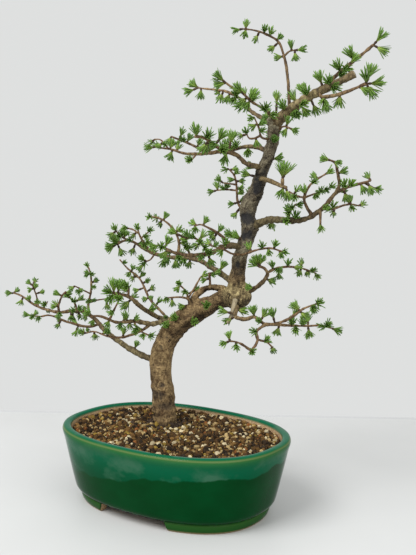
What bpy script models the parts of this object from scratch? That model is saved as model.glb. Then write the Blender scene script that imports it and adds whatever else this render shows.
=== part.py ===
"""Larch bonsai growing in its oval glazed pot.

The tree is one trunk with a burl at its bend, a leader and the branches that grow from them. Each
branch is one solid: its wood, its twigs and the tufts of needles on them. The trunk carries a short
collar for every branch, and the branch begins a hair's breadth beyond the collar's flat end.
The pot's long axis lies along X, the object stands on Z = 0, and the origin is the middle of the
object's box. Lengths are written in millimetres and become metres where meshes are made.
"""
import math

import bmesh
import bpy
import numpy as np
from mathutils import Matrix, Vector, noise

MM = 0.001
GAP = 0.3

# Pot: an oval (superellipse) seen from above, with a wall profile given by insets from the rim.
POT_LENGTH = 216.0
POT_WIDTH = 162.0
POT_HEIGHT = 70.0
OVAL_POWER = 2.38
POT_SIDES = 36
POT_CENTRE = (11.0, -12.0)
RIM_THICKNESS = 7.5
RIM_ROUNDING = 1.2
INNER_TOP_INSET = 8.4
INNER_TOP_HEIGHT = 62.0
INNER_LOW_INSET = 18.0
INNER_LOW_HEIGHT = 19.0
FLOOR_INSET = 22.0
FLOOR_UNDERSIDE = 9.2
FLOOR_TOP = 14.0
FOOT_GAP_HALF = 36.0
FOOT_GAP_HEIGHT = 8.9
DRAIN_DIAMETER = 14.0
DRAIN_OFFSET = 45.0
HOLE_SIDES = 16
# (inset, height) of the outside: foot ring, groove above it, turned-in foot of the wall, wall, lip.
FOOT_PROFILE = [(26.5, FLOOR_UNDERSIDE), (25.8, 0.0), (18.8, 0.0), (17.4, 2.0), (16.6, 7.6), (17.4, 8.6)]
WALL_PROFILE = [(15.2, 9.8), (12.6, 12.5), (11.0, 17.0), (1.3, 61.0), (0.0, 66.5), (0.7, 69.2)]

# Drain screens: square plastic mesh over each drain hole.
SCREEN_SIDE = 24.0
SCREEN_THICKNESS = 1.0
SCREEN_HOLES = 3
SCREEN_PITCH = 7.0
SCREEN_HOLE = 4.6

# Soil: fills the pot to a few millimetres below the rim, slightly domed towards the trunk.
SOIL_EDGE_HEIGHT = 65.0
SOIL_DOME = 1.0
SOIL_SHOULDER = 1.5
SOIL_RINGS = 10
SOIL_SEED = 5
GRANULE_RELIEF = 1.3

# Tree: the points below are (across, depth, up) as the tree is seen from its front, turned on the
# pot by TREE_TURN. Across and depth are measured from the pot's middle, up from the table.
TREE_TURN = math.radians(33.8)
TRUNK_FOOT = 41.0
TRUNK_HOLE_RADIUS = 12.3
TRUNK_RESOLUTION = 4
TRUNK_STEP = 9.0
THICK_WOOD = 1.6
STUB_RESOLUTION = 1
WOOD_STEP = 12.0
COLLAR_CLEARANCE = 0.5
COLLAR_GAP = 0.35
PIECE = 1.0
BEYOND_SEAT = 11
TANGENT_STEP = 0.05
BARK_LUMP = 0.9
BARK_LUMP_SIZE = 13.0
BURL_SEGMENTS = 12
BURL_RINGS = 7
SEARCH_STEP = 0.5
FINER = 9

# Tufts: a short spur with needles spread from its top.
TUFT_SIDES = 3
SPUR_RADIUS = 0.95
SPUR_SUNK = 0.3
SPUR_SHOWN = 0.8
NECK_HEIGHT = 1.5
INNER_SPREAD = math.radians(15)
INNER_TURN = math.radians(60)
OUTER_SPREAD = math.radians(38)
MIDDLE_OF_NEEDLES = 0.45
NEEDLE_RADIUS = 0.4
NEEDLE_CLEARANCE = 0.35
LEANS = (3.0, -4.0, 1.0, -2.0, 5.0, -6.0, 0.5, 7.0)
ROOT_SHIFTS = (0, 3, 6)
ROLL = math.radians(137)
FULL_TUFT_NEEDLE = 9.0
TIP = 3

TINY = 1e-9
WELD = 0.00001
SHARP_ANGLE = math.radians(50)

# (across, depth, up, radius): the lower trunk runs from the soil round the bend into the burl.
LOWER_TRUNK = [
    (-11, 31, 41, 11.2), (-11, 31, 58, 11.4), (-13, 31, 87, 10.8), (-16, 30, 120, 10.3),
    (-15, 30, 132, 10.1), (-11, 29, 143, 9.7), (-6, 28, 154, 9.8), (1, 26, 162, 10.2),
    (11, 23, 169, 10.2), (20, 20, 176, 9.6), (29, 18, 180.5, 8.6), (37, 16, 185, 7.8),
    (45, 13, 188, 8.0), (54, 11, 190, 9.0),
]
UPPER_TRUNK = [
    (54, 10, 190, 9.0), (54, 9, 202, 7.8), (55, 8, 211, 7.0), (58, 6, 231, 6.7), (64, 5, 248, 6.9),
    (65, 5, 255, 7.6), (63, 7, 261, 7.0), (63, 7, 272, 7.2), (79, -1, 315, 5.2), (85, -6, 343, 5.8),
]
# (across, depth, up) of a lump's middle, and its half-sizes in the same directions.
BURLS = [
    ((55.5, 10, 190.5), (13.2, 12.5, 12.3)),
    ((61, 9, 196), (8.0, 8.0, 7.0)),
]
# Bare wood fused to the trunk: (start radius, end radius, route).
STUBS = {
    "loop_limb": (3.0, 2.8, [(12, 21, 182), (20, 22, 191.5), (28, 22, 196.5), (37, 19, 197),
                             (51, 12, 195)]),
    "dead_stub": (2.4, 1.6, [(53, -2, 189), (51, -4.5, 180), (49.5, -6, 174), (46, -6, 168)]),
    "fork_knob": (3.8, 3.0, [(84, -6, 344), (78, -7, 348)]),
    "scar_knob": (2.4, 1.6, [(66, 4, 252), (72, 1, 252)]),
    "side_stub": (2.2, 1.5, [(76, 0, 312), (84, -2, 316)]),
}

# Leafy branches: each is a list of twigs (start radius, end radius, needle length, route, tufts). The
# first twig springs from the trunk or the leader, the others from the wood before them. A tuft is
# given by its middle as seen from the front, (across, up), and grows from the nearest wood.
BRANCHES = {
    "branch_low_left": [
        (2.9, 0.75, 7.5,
         [(-18, 30, 125), (-27, 34, 127), (-59, 50, 141), (-71, 56, 149), (-84, 61, 161),
          (-93, 63, 166), (-106, 66, 166), (-118, 70, 164), (-128, 74, 165), (-141, 79, 168),
          (-163, 88, 179), (-168, 90, 180)],
         [(-172, 180), (-160, 171), (-39, 139)]),
        (1.2, 0.65, 7.5,
         [(-78, 58, 154), (-86, 57, 152), (-107, 52, 157), (-126, 48, 164), (-132, 46, 163),
          (-139, 44, 164)],
         [(-133, 162), (-139, 164), (-145, 165), (-117, 153), (-99, 147)]),
        (0.9, 0.6, 7,
         [(-141, 79, 168), (-142, 76, 179), (-145, 72, 190)],
         [(-149, 193), (-144, 194), (-137, 183), (-147, 186)]),
        (1.1, 0.65, 8,
         [(-118, 70, 164), (-118, 66, 171), (-116, 63, 177), (-113, 61, 183), (-110, 60, 186)],
         [(-119, 184), (-122, 172)]),
        (1.0, 0.6, 8,
         [(-99, 65, 166), (-103, 69, 174), (-111, 75, 180)],
         [(-109, 182)]),
        (1.2, 0.65, 7.5,
         [(-87, 62, 164), (-88, 60, 172), (-85, 56, 188), (-86, 54, 207), (-88, 53, 212)],
         [(-88, 213), (-88, 204), (-84, 204), (-82, 192)]),
        (0.8, 0.55, 7,
         [(-86, 57, 185), (-99, 46, 193)],
         [(-102, 191)]),
        (0.8, 0.55, 7.5,
         [(-86, 59, 175), (-81, 63, 177), (-67, 70, 179)],
         [(-71, 170)]),
        (0.8, 0.55, 7,
         [(-136, 77, 166), (-130, 84, 177)],
         []),
    ],
    "branch_low_left_inner": [
        (2.4, 0.8, 8.5,
         [(-7, 26, 162), (-12, 20, 164), (-23, 13, 163), (-39, 8, 166), (-53, 5, 165), (-71, 2, 171),
          (-78, 0, 171)],
         [(-62, 164), (-79, 174), (-69, 165), (-46, 171)]),
        (0.9, 0.6, 10,
         [(-61, 4, 168), (-51, -8, 187)],
         [(-51, 188)]),
        (1.2, 0.65, 7.5,
         [(-23, 13, 163), (-33, 13, 156), (-40, 13, 153), (-48, 15, 150), (-63, 21, 149),
          (-80, 30, 152), (-86, 33, 150)],
         [(-90, 149), (-78, 147), (-64, 154), (-51, 156)]),
        (1.0, 0.6, 8,
         [(-39, 8, 165), (-36, 4, 160), (-25, -2, 155)],
         [(-36, 159), (-23, 155)]),
    ],
    "branch_tufted_left": [
        (2.3, 1.2, 12,
         [(-6, 27, 164), (-14, 30, 165), (-20, 28, 168), (-32, 17, 177), (-44, 5, 189), (-56, -6, 193)],
         [(-51, 200), (-56, 199), (-57, 191), (-47, 180), (-32, 168), (-39, 176)]),
        (1.0, 0.8, 12,
         [(-44, 5, 189), (-43, 1, 197)],
         [(-44, 198)]),
    ],
    "branch_thin_left": [
        (1.2, 0.6, 6.5,
         [(-2, 26, 165), (-9, 32, 166), (-17, 40, 172), (-26, 46, 180), (-39, 53, 202), (-50, 57, 210),
          (-58, 61, 218)],
         [(-44, 211), (-48, 205), (-35, 205), (-45, 200), (-30, 199), (-41, 189), (-26, 191),
          (-32, 181), (-18, 181), (-25, 170)]),
    ],
    "shoots_over_bend": [
        (1.3, 0.6, 7.5,
         [(12, 22, 177), (10, 17, 186), (5, 13, 188), (-9, 7, 188)],
         [(-9, 187), (-4, 183), (4, 179)]),
        (1.0, 0.6, 7,
         [(10, 17, 186), (9, 20, 191), (1, 25, 199)],
         [(0, 202), (6, 199), (-1, 193)]),
        (0.9, 0.6, 7,
         [(10, 17, 186), (21, 30, 205)],
         [(25, 207)]),
    ],
    "shoot_over_loop": [
        (1.1, 0.7, 6.5,
         [(30, 22, 196), (30, 20, 203), (29, 19, 210)],
         [(33, 209), (37, 211), (24, 204)]),
    ],
    "branch_mid_left": [
        (3.4, 1.0, 8.5,
         [(53, 12, 201), (45, 22, 208), (20, 38, 221), (11, 42, 223), (-2, 46, 222), (-15, 50, 223),
          (-24, 53, 225), (-55, 65, 236), (-61, 67, 233)],
         [(-68, 228), (-63, 236), (-57, 225), (-46, 226), (-15, 217), (-3, 217), (10, 216), (23, 215)]),
        (1.2, 0.6, 7.5,
         [(-2, 46, 222), (0, 43, 232), (-1, 41, 241), (-20, 34, 260), (-26, 32, 261)],
         [(-27, 261), (-13, 261), (-18, 254), (-1, 249)]),
        (1.2, 0.65, 7.5,
         [(-28, 54, 226), (-38, 45, 244), (-39, 43, 248)],
         [(-39, 250), (-31, 235)]),
        (0.8, 0.6, 8,
         [(-36, 47, 240), (-28, 40, 247)],
         [(-27, 248)]),
        (0.8, 0.6, 8,
         [(-38, 45, 244), (-44, 47, 248), (-49, 49, 249)],
         [(-51, 249), (-44, 242)]),
        (1.0, 0.6, 8,
         [(-47, 62, 233), (-56, 58, 240), (-61, 55, 246)],
         [(-66, 242), (-62, 249)]),
        (0.8, 0.6, 8.5,
         [(-24, 53, 225), (-28, 49, 219), (-31, 46, 218)],
         [(-35, 221), (-37, 211)]),
        (1.0, 0.7, 8.5,
         [(11, 42, 223), (9, 47, 229), (5, 51, 234), (-1, 55, 236)],
         [(6, 233)]),
    ],
    "branch_mid_left_front": [
        (2.5, 0.9, 9,
         [(59, 6, 234), (52, 0, 237), (45, -4, 237), (27, -13, 230), (18, -16, 229), (-3, -23, 232),
          (-15, -29, 238)],
         [(43, 239), (-17, 240), (-7, 242), (30, 223), (3, 227), (-10, 230), (36, 228)]),
        (1.4, 0.6, 7.5,
         [(48, -2, 237), (39, -8, 246), (28, -15, 253), (20, -18, 256), (16, -20, 255)],
         [(14, 254), (25, 259), (38, 252), (32, 244)]),
        (1.0, 0.6, 8.5,
         [(27, -13, 230), (25, -17, 236), (20, -21, 242), (14, -24, 245), (9, -27, 244)],
         [(-3, 250), (9, 247), (17, 237), (23, 247)]),
    ],
    "branch_mid_right": [
        (2.2, 1.1, 9.5,
         [(63, 8, 194), (74, -2, 202), (79, -6, 208), (81, -8, 213), (78, -10, 218), (73, -12, 220)],
         [(68, 222), (71, 226), (75, 226), (85, 206)]),
        (1.1, 0.6, 7.5,
         [(81, -8, 214), (85, -4, 216), (107, 11, 218), (122, 18, 214), (127, 20, 212)],
         [(124, 215), (128, 210), (114, 221), (112, 212), (96, 224), (100, 222), (92, 210), (85, 221)]),
    ],
    "shoot_front": [
        (1.0, 0.6, 7.5,
         [(57, 4, 228), (60, -6, 230), (83, -30, 237), (91, -37, 235)],
         [(85, 241), (80, 234), (92, 235), (64, 237), (74, 239)]),
        (0.9, 0.6, 7.5,
         [(59, -4, 230), (49, -13, 231), (43, -17, 234), (38, -38, 237), (31, -42, 239)],
         [(39, 233), (28, 241)]),
    ],
    "branch_low_right": [
        (1.8, 0.7, 9.5,
         [(55, 6, 185), (54, -7, 180), (53, -12, 175), (56, -17, 174), (62, -22, 174), (69, -28, 177),
          (78, -36, 172), (85, -40, 173), (102, -52, 183), (107, -56, 188), (118, -63, 194)],
         [(119, 195), (104, 191), (108, 184), (61, 181), (68, 182), (78, 180), (83, 183), (45, 179),
          (47, 170), (91, 184)]),
        (1.2, 0.6, 9,
         [(82, -38, 172), (117, -22, 169), (129, -18, 169), (139, -14, 166)],
         [(142, 165), (134, 170), (133, 163), (117, 163), (105, 171), (117, 175), (89, 165),
          (97, 166)]),
        (1.2, 1.0, 8,
         [(78, -36, 172), (70, -43, 166), (71, -47, 160), (65, -55, 151)],
         [(66, 169), (67, 150)]),
        (1.1, 0.6, 7.5,
         [(66, -54, 153), (52, -63, 161), (47, -66, 162)],
         [(42, 161), (46, 167), (52, 158)]),
        (0.9, 0.6, 8,
         [(71, -47, 160), (81, -40, 156), (84, -38, 153)],
         [(85, 150), (79, 160), (73, 156)]),
    ],
    "branch_right": [
        (3.3, 0.8, 9,
         [(67, 5, 254), (81, -7, 261), (99, -18, 261), (109, -24, 262), (126, -36, 274),
          (134, -42, 285), (160, -58, 296)],
         [(160, 296), (145, 292), (154, 290), (143, 282), (103, 265), (95, 261), (84, 256),
          (150, 295)]),
        (0.8, 0.55, 8,
         [(155, -55, 294), (165, -49, 290)],
         [(167, 289)]),
        (1.6, 0.7, 8.5,
         [(134, -42, 285), (136, -46, 291), (134, -50, 301), (130, -53, 311), (127, -54, 312)],
         [(123, 313), (138, 303)]),
        (1.2, 0.6, 7.5,
         [(123, -34, 272), (132, -29, 272), (151, -20, 276), (158, -18, 275)],
         [(161, 275), (151, 273), (149, 281), (136, 268), (134, 274)]),
        (1.2, 0.8, 8,
         [(123, -33, 271), (122, -42, 259)],
         [(122, 256)]),
        (1.3, 0.65, 8,
         [(116, -28, 267), (108, -38, 281), (113, -46, 293), (124, -52, 301)],
         [(126, 302), (114, 294), (112, 273)]),
        (0.9, 0.6, 8,
         [(108, -38, 281), (103, -35, 282), (96, -31, 286)],
         [(100, 281), (102, 288), (96, 286)]),
        (0.9, 0.6, 7.5,
         [(108, -38, 281), (114, -33, 283), (132, -22, 290)],
         [(118, 283), (123, 287), (128, 288), (134, 294)]),
        (1.1, 0.7, 8,
         [(96, -16, 261), (99, -26, 271), (102, -29, 275)],
         [(99, 272), (104, 275), (96, 268)]),
    ],
    "branch_right_short": [
        (1.9, 1.5, 11,
         [(71, 3, 294), (74, -4, 297), (78, -9, 296), (94, -24, 289)],
         [(90, 285), (96, 282), (85, 287)]),
        (1.5, 1.3, 14,
         [(91, -22, 291), (91, -22, 297)],
         [(93, 304), (84, 313)]),
    ],
    "shoot_left_upright": [
        (1.1, 0.6, 7,
         [(60, 7, 269), (56, 12, 272), (49, 20, 302), (45, 22, 306)],
         [(42, 305), (52, 303), (48, 296), (56, 288), (48, 274), (51, 264), (58, 277)]),
        (0.8, 0.55, 7,
         [(52, 18, 292), (40, 11, 293)],
         [(36, 296)]),
        (0.8, 0.55, 7.5,
         [(53, 16, 286), (41, 23, 287), (34, 27, 286)],
         [(35, 290), (29, 285)]),
    ],
    "branch_upper_left": [
        (2.0, 0.7, 9,
         [(79, -1, 320), (74, 7, 324), (66, 14, 326), (39, 31, 322), (15, 44, 320), (2, 50, 321),
          (-7, 55, 324), (-25, 65, 327)],
         [(-31, 326), (-9, 329), (-10, 318), (-3, 327), (39, 326), (60, 316), (51, 327), (32, 317),
          (-21, 321)]),
        (1.2, 0.8, 8.5,
         [(25, 39, 321), (18, 37, 325), (-8, 31, 335)],
         [(2, 339), (-8, 338), (15, 339), (24, 326), (3, 332), (18, 330)]),
        (0.8, 0.55, 7,
         [(-11, 58, 325), (-21, 58, 334), (-25, 60, 334)],
         [(-29, 332), (-17, 332)]),
        (0.9, 0.6, 9,
         [(15, 44, 320), (11, 37, 314)],
         [(10, 314)]),
    ],
    "branch_upper_left_front": [
        (2.1, 1.0, 11,
         [(73, 0, 307), (68, -6, 308), (59, -13, 310), (52, -19, 316), (38, -29, 320), (20, -41, 330),
          (15, -44, 330)],
         [(16, 334), (26, 332), (38, 332), (46, 332), (41, 314), (61, 315), (54, 310), (24, 322),
          (32, 327)]),
        (0.9, 0.7, 11,
         [(38, -29, 320), (30, -40, 318)],
         []),
    ],
    "shoot_below_fork": [
        (1.1, 0.6, 7.5,
         [(82, -4, 331), (71, -18, 334), (70, -22, 338), (65, -28, 348)],
         [(62, 347), (64, 341), (71, 343), (72, 337)]),
        (0.9, 0.6, 7.5,
         [(71, -18, 334), (65, -21, 331), (61, -24, 331), (59, -26, 334)],
         [(58, 336), (68, 327)]),
    ],
    "branch_top_left": [
        (1.9, 0.65, 8.5,
         [(84, -5, 344), (78, 1, 348), (62, 13, 359), (55, 20, 368), (47, 26, 374), (16, 43, 381)],
         [(7, 377), (11, 384), (18, 374), (37, 371), (53, 361), (49, 369), (73, 348), (79, 355),
          (27, 383), (43, 370), (63, 353)]),
        (0.9, 0.8, 11,
         [(51, 22, 371), (49, 18, 376), (41, 13, 382)],
         [(35, 384)]),
    ],
    "branch_top_left_front": [
        (1.4, 0.9, 10.5,
         [(85, -7, 347), (74, -20, 356), (63, -27, 361), (55, -33, 367)],
         [(50, 371), (63, 367), (59, 359), (72, 358), (55, 361)]),
    ],
    "apex_whip": [
        (1.35, 0.65, 8,
         [(97, -10, 356), (90, -2, 407), (87, 0, 415), (75, 6, 424), (61, 13, 429), (55, 16, 430)],
         [(49, 428), (58, 435), (57, 425), (67, 421), (74, 429), (79, 424), (81, 412), (86, 403),
          (95, 401)]),
        (0.9, 0.65, 8.5,
         [(91, -2, 403), (96, -11, 407), (99, -14, 407)],
         [(105, 407), (100, 401), (96, 411)]),
    ],
    "apex_right_upper": [
        (1.8, 1.1, 12.5,
         [(122, -22, 371), (125, -18, 376), (131, -14, 382), (169, 0, 415)],
         [(175, 422), (178, 411), (152, 408), (136, 397), (143, 401), (140, 387), (153, 396)]),
    ],
    "apex_right_lower": [
        (1.5, 1.1, 12,
         [(120, -22, 370), (122, -29, 366), (125, -33, 366), (133, -37, 367), (155, -49, 375)],
         [(158, 385), (165, 376), (160, 368), (136, 362), (145, 366), (140, 376)]),
    ],
    "shoot_right_of_fork": [
        (1.0, 0.7, 8.5,
         [(85, -6, 339), (93, -16, 342), (97, -19, 340)],
         [(100, 338), (92, 337), (95, 347), (88, 334)]),
    ],
    "leader": [
        (4.6, 3.1, 11,
         [(85, -6, 343), (88, -7, 348), (100, -12, 359), (148, -34, 385)],
         [(119, 383), (109, 374), (130, 375), (99, 368), (101, 354), (110, 355), (119, 357), (127, 359),
          (140, 372), (145, 379)]),
    ],
}
# The branches that spring from the leader. The others spring from the trunk.
ON_LEADER = ("apex_whip", "apex_right_upper", "apex_right_lower")
# Tufts that grow straight from the trunk's bark, and their needles' length.
TRUNK_TUFTS = [(-8, 158), (-1, 165), (14, 165), (27, 179), (74, 312), (76, 349), (86, 366), (93, 357)]
TRUNK_NEEDLE = 9.0
FACE_LIFT = 0.5


def clear_scene():
    """Remove every object of the scene."""
    for thing in list(bpy.data.objects):
        bpy.data.objects.remove(thing, do_unlink=True)


def new_collection(name):
    """A collection linked to the scene."""
    collection = bpy.data.collections.new(name)
    bpy.context.scene.collection.children.link(collection)
    return collection


def material(name, colour, roughness):
    """A Principled material of one colour, with no metal in it."""
    made = bpy.data.materials.new(name)
    made.use_nodes = True
    shader = made.node_tree.nodes["Principled BSDF"]
    shader.inputs["Base Color"].default_value = (*colour, 1.0)
    shader.inputs["Roughness"].default_value = roughness
    shader.inputs["Metallic"].default_value = 0.0
    return made


def add_object(name, mesh, collection):
    """A linked object holding the mesh."""
    made = bpy.data.objects.new(name, mesh)
    collection.objects.link(made)
    return made


def add_shape(name, shape, collection):
    """A linked object holding what the bmesh holds."""
    mesh = bpy.data.meshes.new(name)
    shape.to_mesh(mesh)
    shape.free()
    return add_object(name, mesh, collection)


def evaluated_mesh(thing):
    """A new mesh of the object with its modifiers or its curve worked out."""
    bpy.context.view_layer.update()
    return bpy.data.meshes.new_from_object(thing.evaluated_get(bpy.context.evaluated_depsgraph_get()))


def shade_round(body):
    """Shade the body smooth, except at its sharp edges."""
    body.data.shade_smooth()
    body.data.set_sharp_from_angle(angle=SHARP_ANGLE)


def drop_scraps(mesh):
    """Keep only the largest connected shell of a mesh: no sealed hollow and no loose scrap."""
    shape = bmesh.new()
    shape.from_mesh(mesh)
    left = set(shape.verts)
    shells = []
    while left:
        shell = [left.pop()]
        for vert in shell:
            found = {edge.other_vert(vert) for edge in vert.link_edges} & left
            left -= found
            shell.extend(found)
        shells.append(shell)
    shells.sort(key=len)
    for shell in shells[:-1]:
        bmesh.ops.delete(shape, geom=shell, context="VERTS")
    shape.to_mesh(mesh)
    shape.free()


def fuse(body, extras):
    """Join a collection's objects to the body by one Boolean union, then remove them."""
    union = body.modifiers.new("union", "BOOLEAN")
    union.operation = "UNION"
    union.operand_type = "COLLECTION"
    union.collection = extras
    union.solver = "MANIFOLD"
    mesh = evaluated_mesh(body)
    body.modifiers.clear()
    drop_scraps(mesh)
    body.data = mesh
    for extra in list(extras.objects):
        bpy.data.objects.remove(extra, do_unlink=True)
    bpy.data.collections.remove(extras)


def cut(body, cutter):
    """Take the cutter's shape out of the body with a live Boolean."""
    difference = body.modifiers.new(cutter.name, "BOOLEAN")
    difference.operation = "DIFFERENCE"
    difference.object = cutter
    cutter.hide_render = True
    cutter.display_type = "WIRE"


def box(name, low, high, collection):
    """A box between two corners in millimetres, measured from the pot's middle."""
    shape = bmesh.new()
    bmesh.ops.create_cube(shape, size=1.0)
    middle = np.add(high, low) / 2 + (*POT_CENTRE, 0.0)
    bmesh.ops.scale(shape, vec=np.subtract(high, low) * MM, verts=shape.verts)
    bmesh.ops.translate(shape, vec=middle * MM, verts=shape.verts)
    return add_shape(name, shape, collection)


def cylinder(name, place, radius, bottom, top, collection):
    """An upright cylinder round a place (x, y) from the pot's middle, in millimetres."""
    shape = bmesh.new()
    bmesh.ops.create_cone(shape, cap_ends=True, segments=HOLE_SIDES, radius1=radius * MM,
                          radius2=radius * MM, depth=(top - bottom) * MM)
    middle = Vector((POT_CENTRE[0] + place[0], POT_CENTRE[1] + place[1], (top + bottom) / 2))
    bmesh.ops.translate(shape, vec=middle * MM, verts=shape.verts)
    return add_shape(name, shape, collection)


# Pot and soil


def oval_loft(name, rings, collection):
    """A closed solid through ovals (half-length, half-width, height), with a flat face at each end.

    An oval is a superellipse: both coordinates are powers of the cosine and sine of one parameter.
    """
    angles = np.arange(POT_SIDES) * math.tau / POT_SIDES
    lengthwise = np.sign(np.cos(angles)) * np.abs(np.cos(angles)) ** (2 / OVAL_POWER)
    widthwise = np.sign(np.sin(angles)) * np.abs(np.sin(angles)) ** (2 / OVAL_POWER)
    shape = bmesh.new()
    loops = []
    for half_length, half_width, height in rings:
        x = POT_CENTRE[0] + half_length * lengthwise
        y = POT_CENTRE[1] + half_width * widthwise
        loops.append([shape.verts.new(Vector((*place, height)) * MM) for place in zip(x, y)])
    for lower, upper in zip(loops, loops[1:]):
        for corner in range(POT_SIDES):
            after = (corner + 1) % POT_SIDES
            shape.faces.new((lower[corner], lower[after], upper[after], upper[corner]))
    shape.faces.new(loops[0][::-1])
    shape.faces.new(loops[-1])
    bmesh.ops.recalc_face_normals(shape, faces=shape.faces)
    return add_shape(name, shape, collection)


def inset_rings(profile):
    """Ovals at (inset, height) places, the inset measured inwards from the rim's outline."""
    return [(POT_LENGTH / 2 - inset, POT_WIDTH / 2 - inset, height) for inset, height in profile]


def make_pot(parts, cutters):
    """The pot: one walled oval with a rounded rim, a foot round each end and two drain holes."""
    top = [(2 * RIM_ROUNDING, POT_HEIGHT), (RIM_THICKNESS - RIM_ROUNDING, POT_HEIGHT),
           (RIM_THICKNESS, POT_HEIGHT - RIM_ROUNDING)]
    inside = [(INNER_TOP_INSET, INNER_TOP_HEIGHT), (INNER_LOW_INSET, INNER_LOW_HEIGHT),
              (FLOOR_INSET, FLOOR_TOP)]
    pot = oval_loft("pot", inset_rings(FOOT_PROFILE + WALL_PROFILE + top + inside), parts)
    shade_round(pot)
    far = POT_LENGTH
    cut(pot, box("gap_between_feet", (-FOOT_GAP_HALF, -far, -far),
                 (FOOT_GAP_HALF, far, FOOT_GAP_HEIGHT), cutters))
    for side, name in ((-1, "drain_hole_left"), (1, "drain_hole_right")):
        cut(pot, cylinder(name, (side * DRAIN_OFFSET, 0), DRAIN_DIAMETER / 2, 0, 2 * FLOOR_TOP,
                          cutters))
    pot.data.materials.append(material("green_glaze", (0.004, 0.16, 0.085), 0.12))


def make_screen(name, side, parts, cutters):
    """A square of drain mesh lying on the pot's floor over one hole."""
    half = SCREEN_SIDE / 2
    bottom = FLOOR_TOP + GAP
    middle = side * DRAIN_OFFSET
    screen = box(name, (middle - half, -half, bottom), (middle + half, half, bottom + SCREEN_THICKNESS),
                 parts)
    first = -SCREEN_PITCH * (SCREEN_HOLES - 1) / 2
    holes = bmesh.new()
    for row in range(SCREEN_HOLES):
        for column in range(SCREEN_HOLES):
            hole = bmesh.ops.create_cube(holes, size=1.0)["verts"]
            place = Vector((POT_CENTRE[0] + middle + first + column * SCREEN_PITCH,
                            POT_CENTRE[1] + first + row * SCREEN_PITCH, bottom))
            bmesh.ops.scale(holes, vec=Vector((SCREEN_HOLE, SCREEN_HOLE, FLOOR_TOP)) * MM, verts=hole)
            bmesh.ops.translate(holes, vec=place * MM, verts=hole)
    cut(screen, add_shape(name + "_holes", holes, cutters))
    screen.data.materials.append(material(name + "_plastic", (0.02, 0.02, 0.02), 0.6))


def make_soil(parts, cutters):
    """The soil: fills the pot, with granules raised on top and plain holes for trunk and screens."""
    profile = [(FLOOR_INSET + 2 * GAP, FLOOR_TOP + GAP), (INNER_LOW_INSET + 2 * GAP, INNER_LOW_HEIGHT),
               (INNER_TOP_INSET + 2 * GAP, SOIL_EDGE_HEIGHT - SOIL_SHOULDER)]
    rings = inset_rings(profile)
    half_length, half_width, _ = rings[-1]
    for share in np.linspace(1.0, 0.0, SOIL_RINGS, endpoint=False):
        rings.append((half_length * share, half_width * share,
                      SOIL_EDGE_HEIGHT + SOIL_DOME * (1 - share ** 2)))
    soil = oval_loft("soil", rings, parts)
    draws = np.random.default_rng(SOIL_SEED)
    for vert in soil.data.vertices:
        if vert.co.z > SOIL_EDGE_HEIGHT * MM:
            vert.co.z += draws.uniform(-GRANULE_RELIEF, GRANULE_RELIEF) * MM
    foot = tree_to_pot(np.array([LOWER_TRUNK[0][:3]]))[0]
    cut(soil, cylinder("trunk_hole", foot[:2], TRUNK_HOLE_RADIUS, TRUNK_FOOT - GAP, POT_HEIGHT, cutters))
    half = SCREEN_SIDE / 2 + GAP
    for side, name in ((-1, "left_screen_recess"), (1, "right_screen_recess")):
        middle = side * DRAIN_OFFSET
        cut(soil, box(name, (middle - half, -half, 0), (middle + half, half,
                      FLOOR_TOP + SCREEN_THICKNESS + 2 * GAP), cutters))
    soil.data.materials.append(material("granular_soil", (0.16, 0.11, 0.07), 0.95))


# Wood


def tree_to_pot(points):
    """Places in the pot's axes, from its middle, of tree points (across, depth, up), in millimetres."""
    across, depth, up = np.asarray(points, float).T
    x = across * math.cos(TREE_TURN) - depth * math.sin(TREE_TURN)
    y = across * math.sin(TREE_TURN) + depth * math.cos(TREE_TURN)
    return np.stack([x, y, up], axis=-1)


def tree_to_world(points):
    """World places in metres of tree points in millimetres."""
    return (tree_to_pot(points) + (*POT_CENTRE, 0.0)) * MM


def route_length(points):
    """Length of the chords through the points."""
    return float(np.linalg.norm(np.diff(np.array(points, float)[:, :3], axis=0), axis=1).sum())


def spaced(start, end, step):
    """Distances from start to end, about step apart."""
    return np.linspace(start, end, max(1, round((end - start) / step)) + 1)


def along(points, distances):
    """Points at some distances along a smooth curve through the given ones.

    The curve is a cubic between each pair of points. Its tangent at a point is the mean of the slopes
    on the point's two sides, weighted towards the shorter. Columns after the third are carried along.
    """
    points = np.array(points, float)
    chords = np.linalg.norm(np.diff(points[:, :3], axis=0), axis=1)
    marks = np.concatenate([[0.0], np.cumsum(chords)])
    slopes = np.diff(points, axis=0) / chords[:, None]
    before = chords[:-1, None]
    after = chords[1:, None]
    tangents = np.vstack([slopes[:1], (before * slopes[1:] + after * slopes[:-1]) / (before + after),
                          slopes[-1:]])
    piece = np.clip(np.searchsorted(marks, distances, side="right") - 1, 0, len(chords) - 1)
    span = chords[piece][:, None]
    t = (distances - marks[piece])[:, None] / span
    return ((1 + 2 * t) * (1 - t) ** 2 * points[piece] + t * (1 - t) ** 2 * span * tangents[piece]
            + t ** 2 * (3 - 2 * t) * points[piece + 1] + t ** 2 * (t - 1) * span * tangents[piece + 1])


def tube(name, points, radii, resolution, collection):
    """A solid tube through tree points with a radius at each, as a mesh object with welded caps."""
    curve = bpy.data.curves.new(name, "CURVE")
    curve.dimensions = "3D"
    curve.bevel_depth = MM
    curve.bevel_resolution = resolution
    curve.use_fill_caps = True
    spline = curve.splines.new("POLY")
    spline.points.add(len(points) - 1)
    for point, place, radius in zip(spline.points, tree_to_world(points), radii):
        point.co = (*place, 1.0)
        point.radius = radius
    drawn = add_object(name + "_curve", curve, collection)
    mesh = evaluated_mesh(drawn)
    bpy.data.objects.remove(drawn, do_unlink=True)
    shape = bmesh.new()
    shape.from_mesh(mesh)
    bmesh.ops.remove_doubles(shape, verts=shape.verts, dist=WELD)
    bmesh.ops.recalc_face_normals(shape, faces=shape.faces)
    return add_shape(name, shape, collection)


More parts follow.
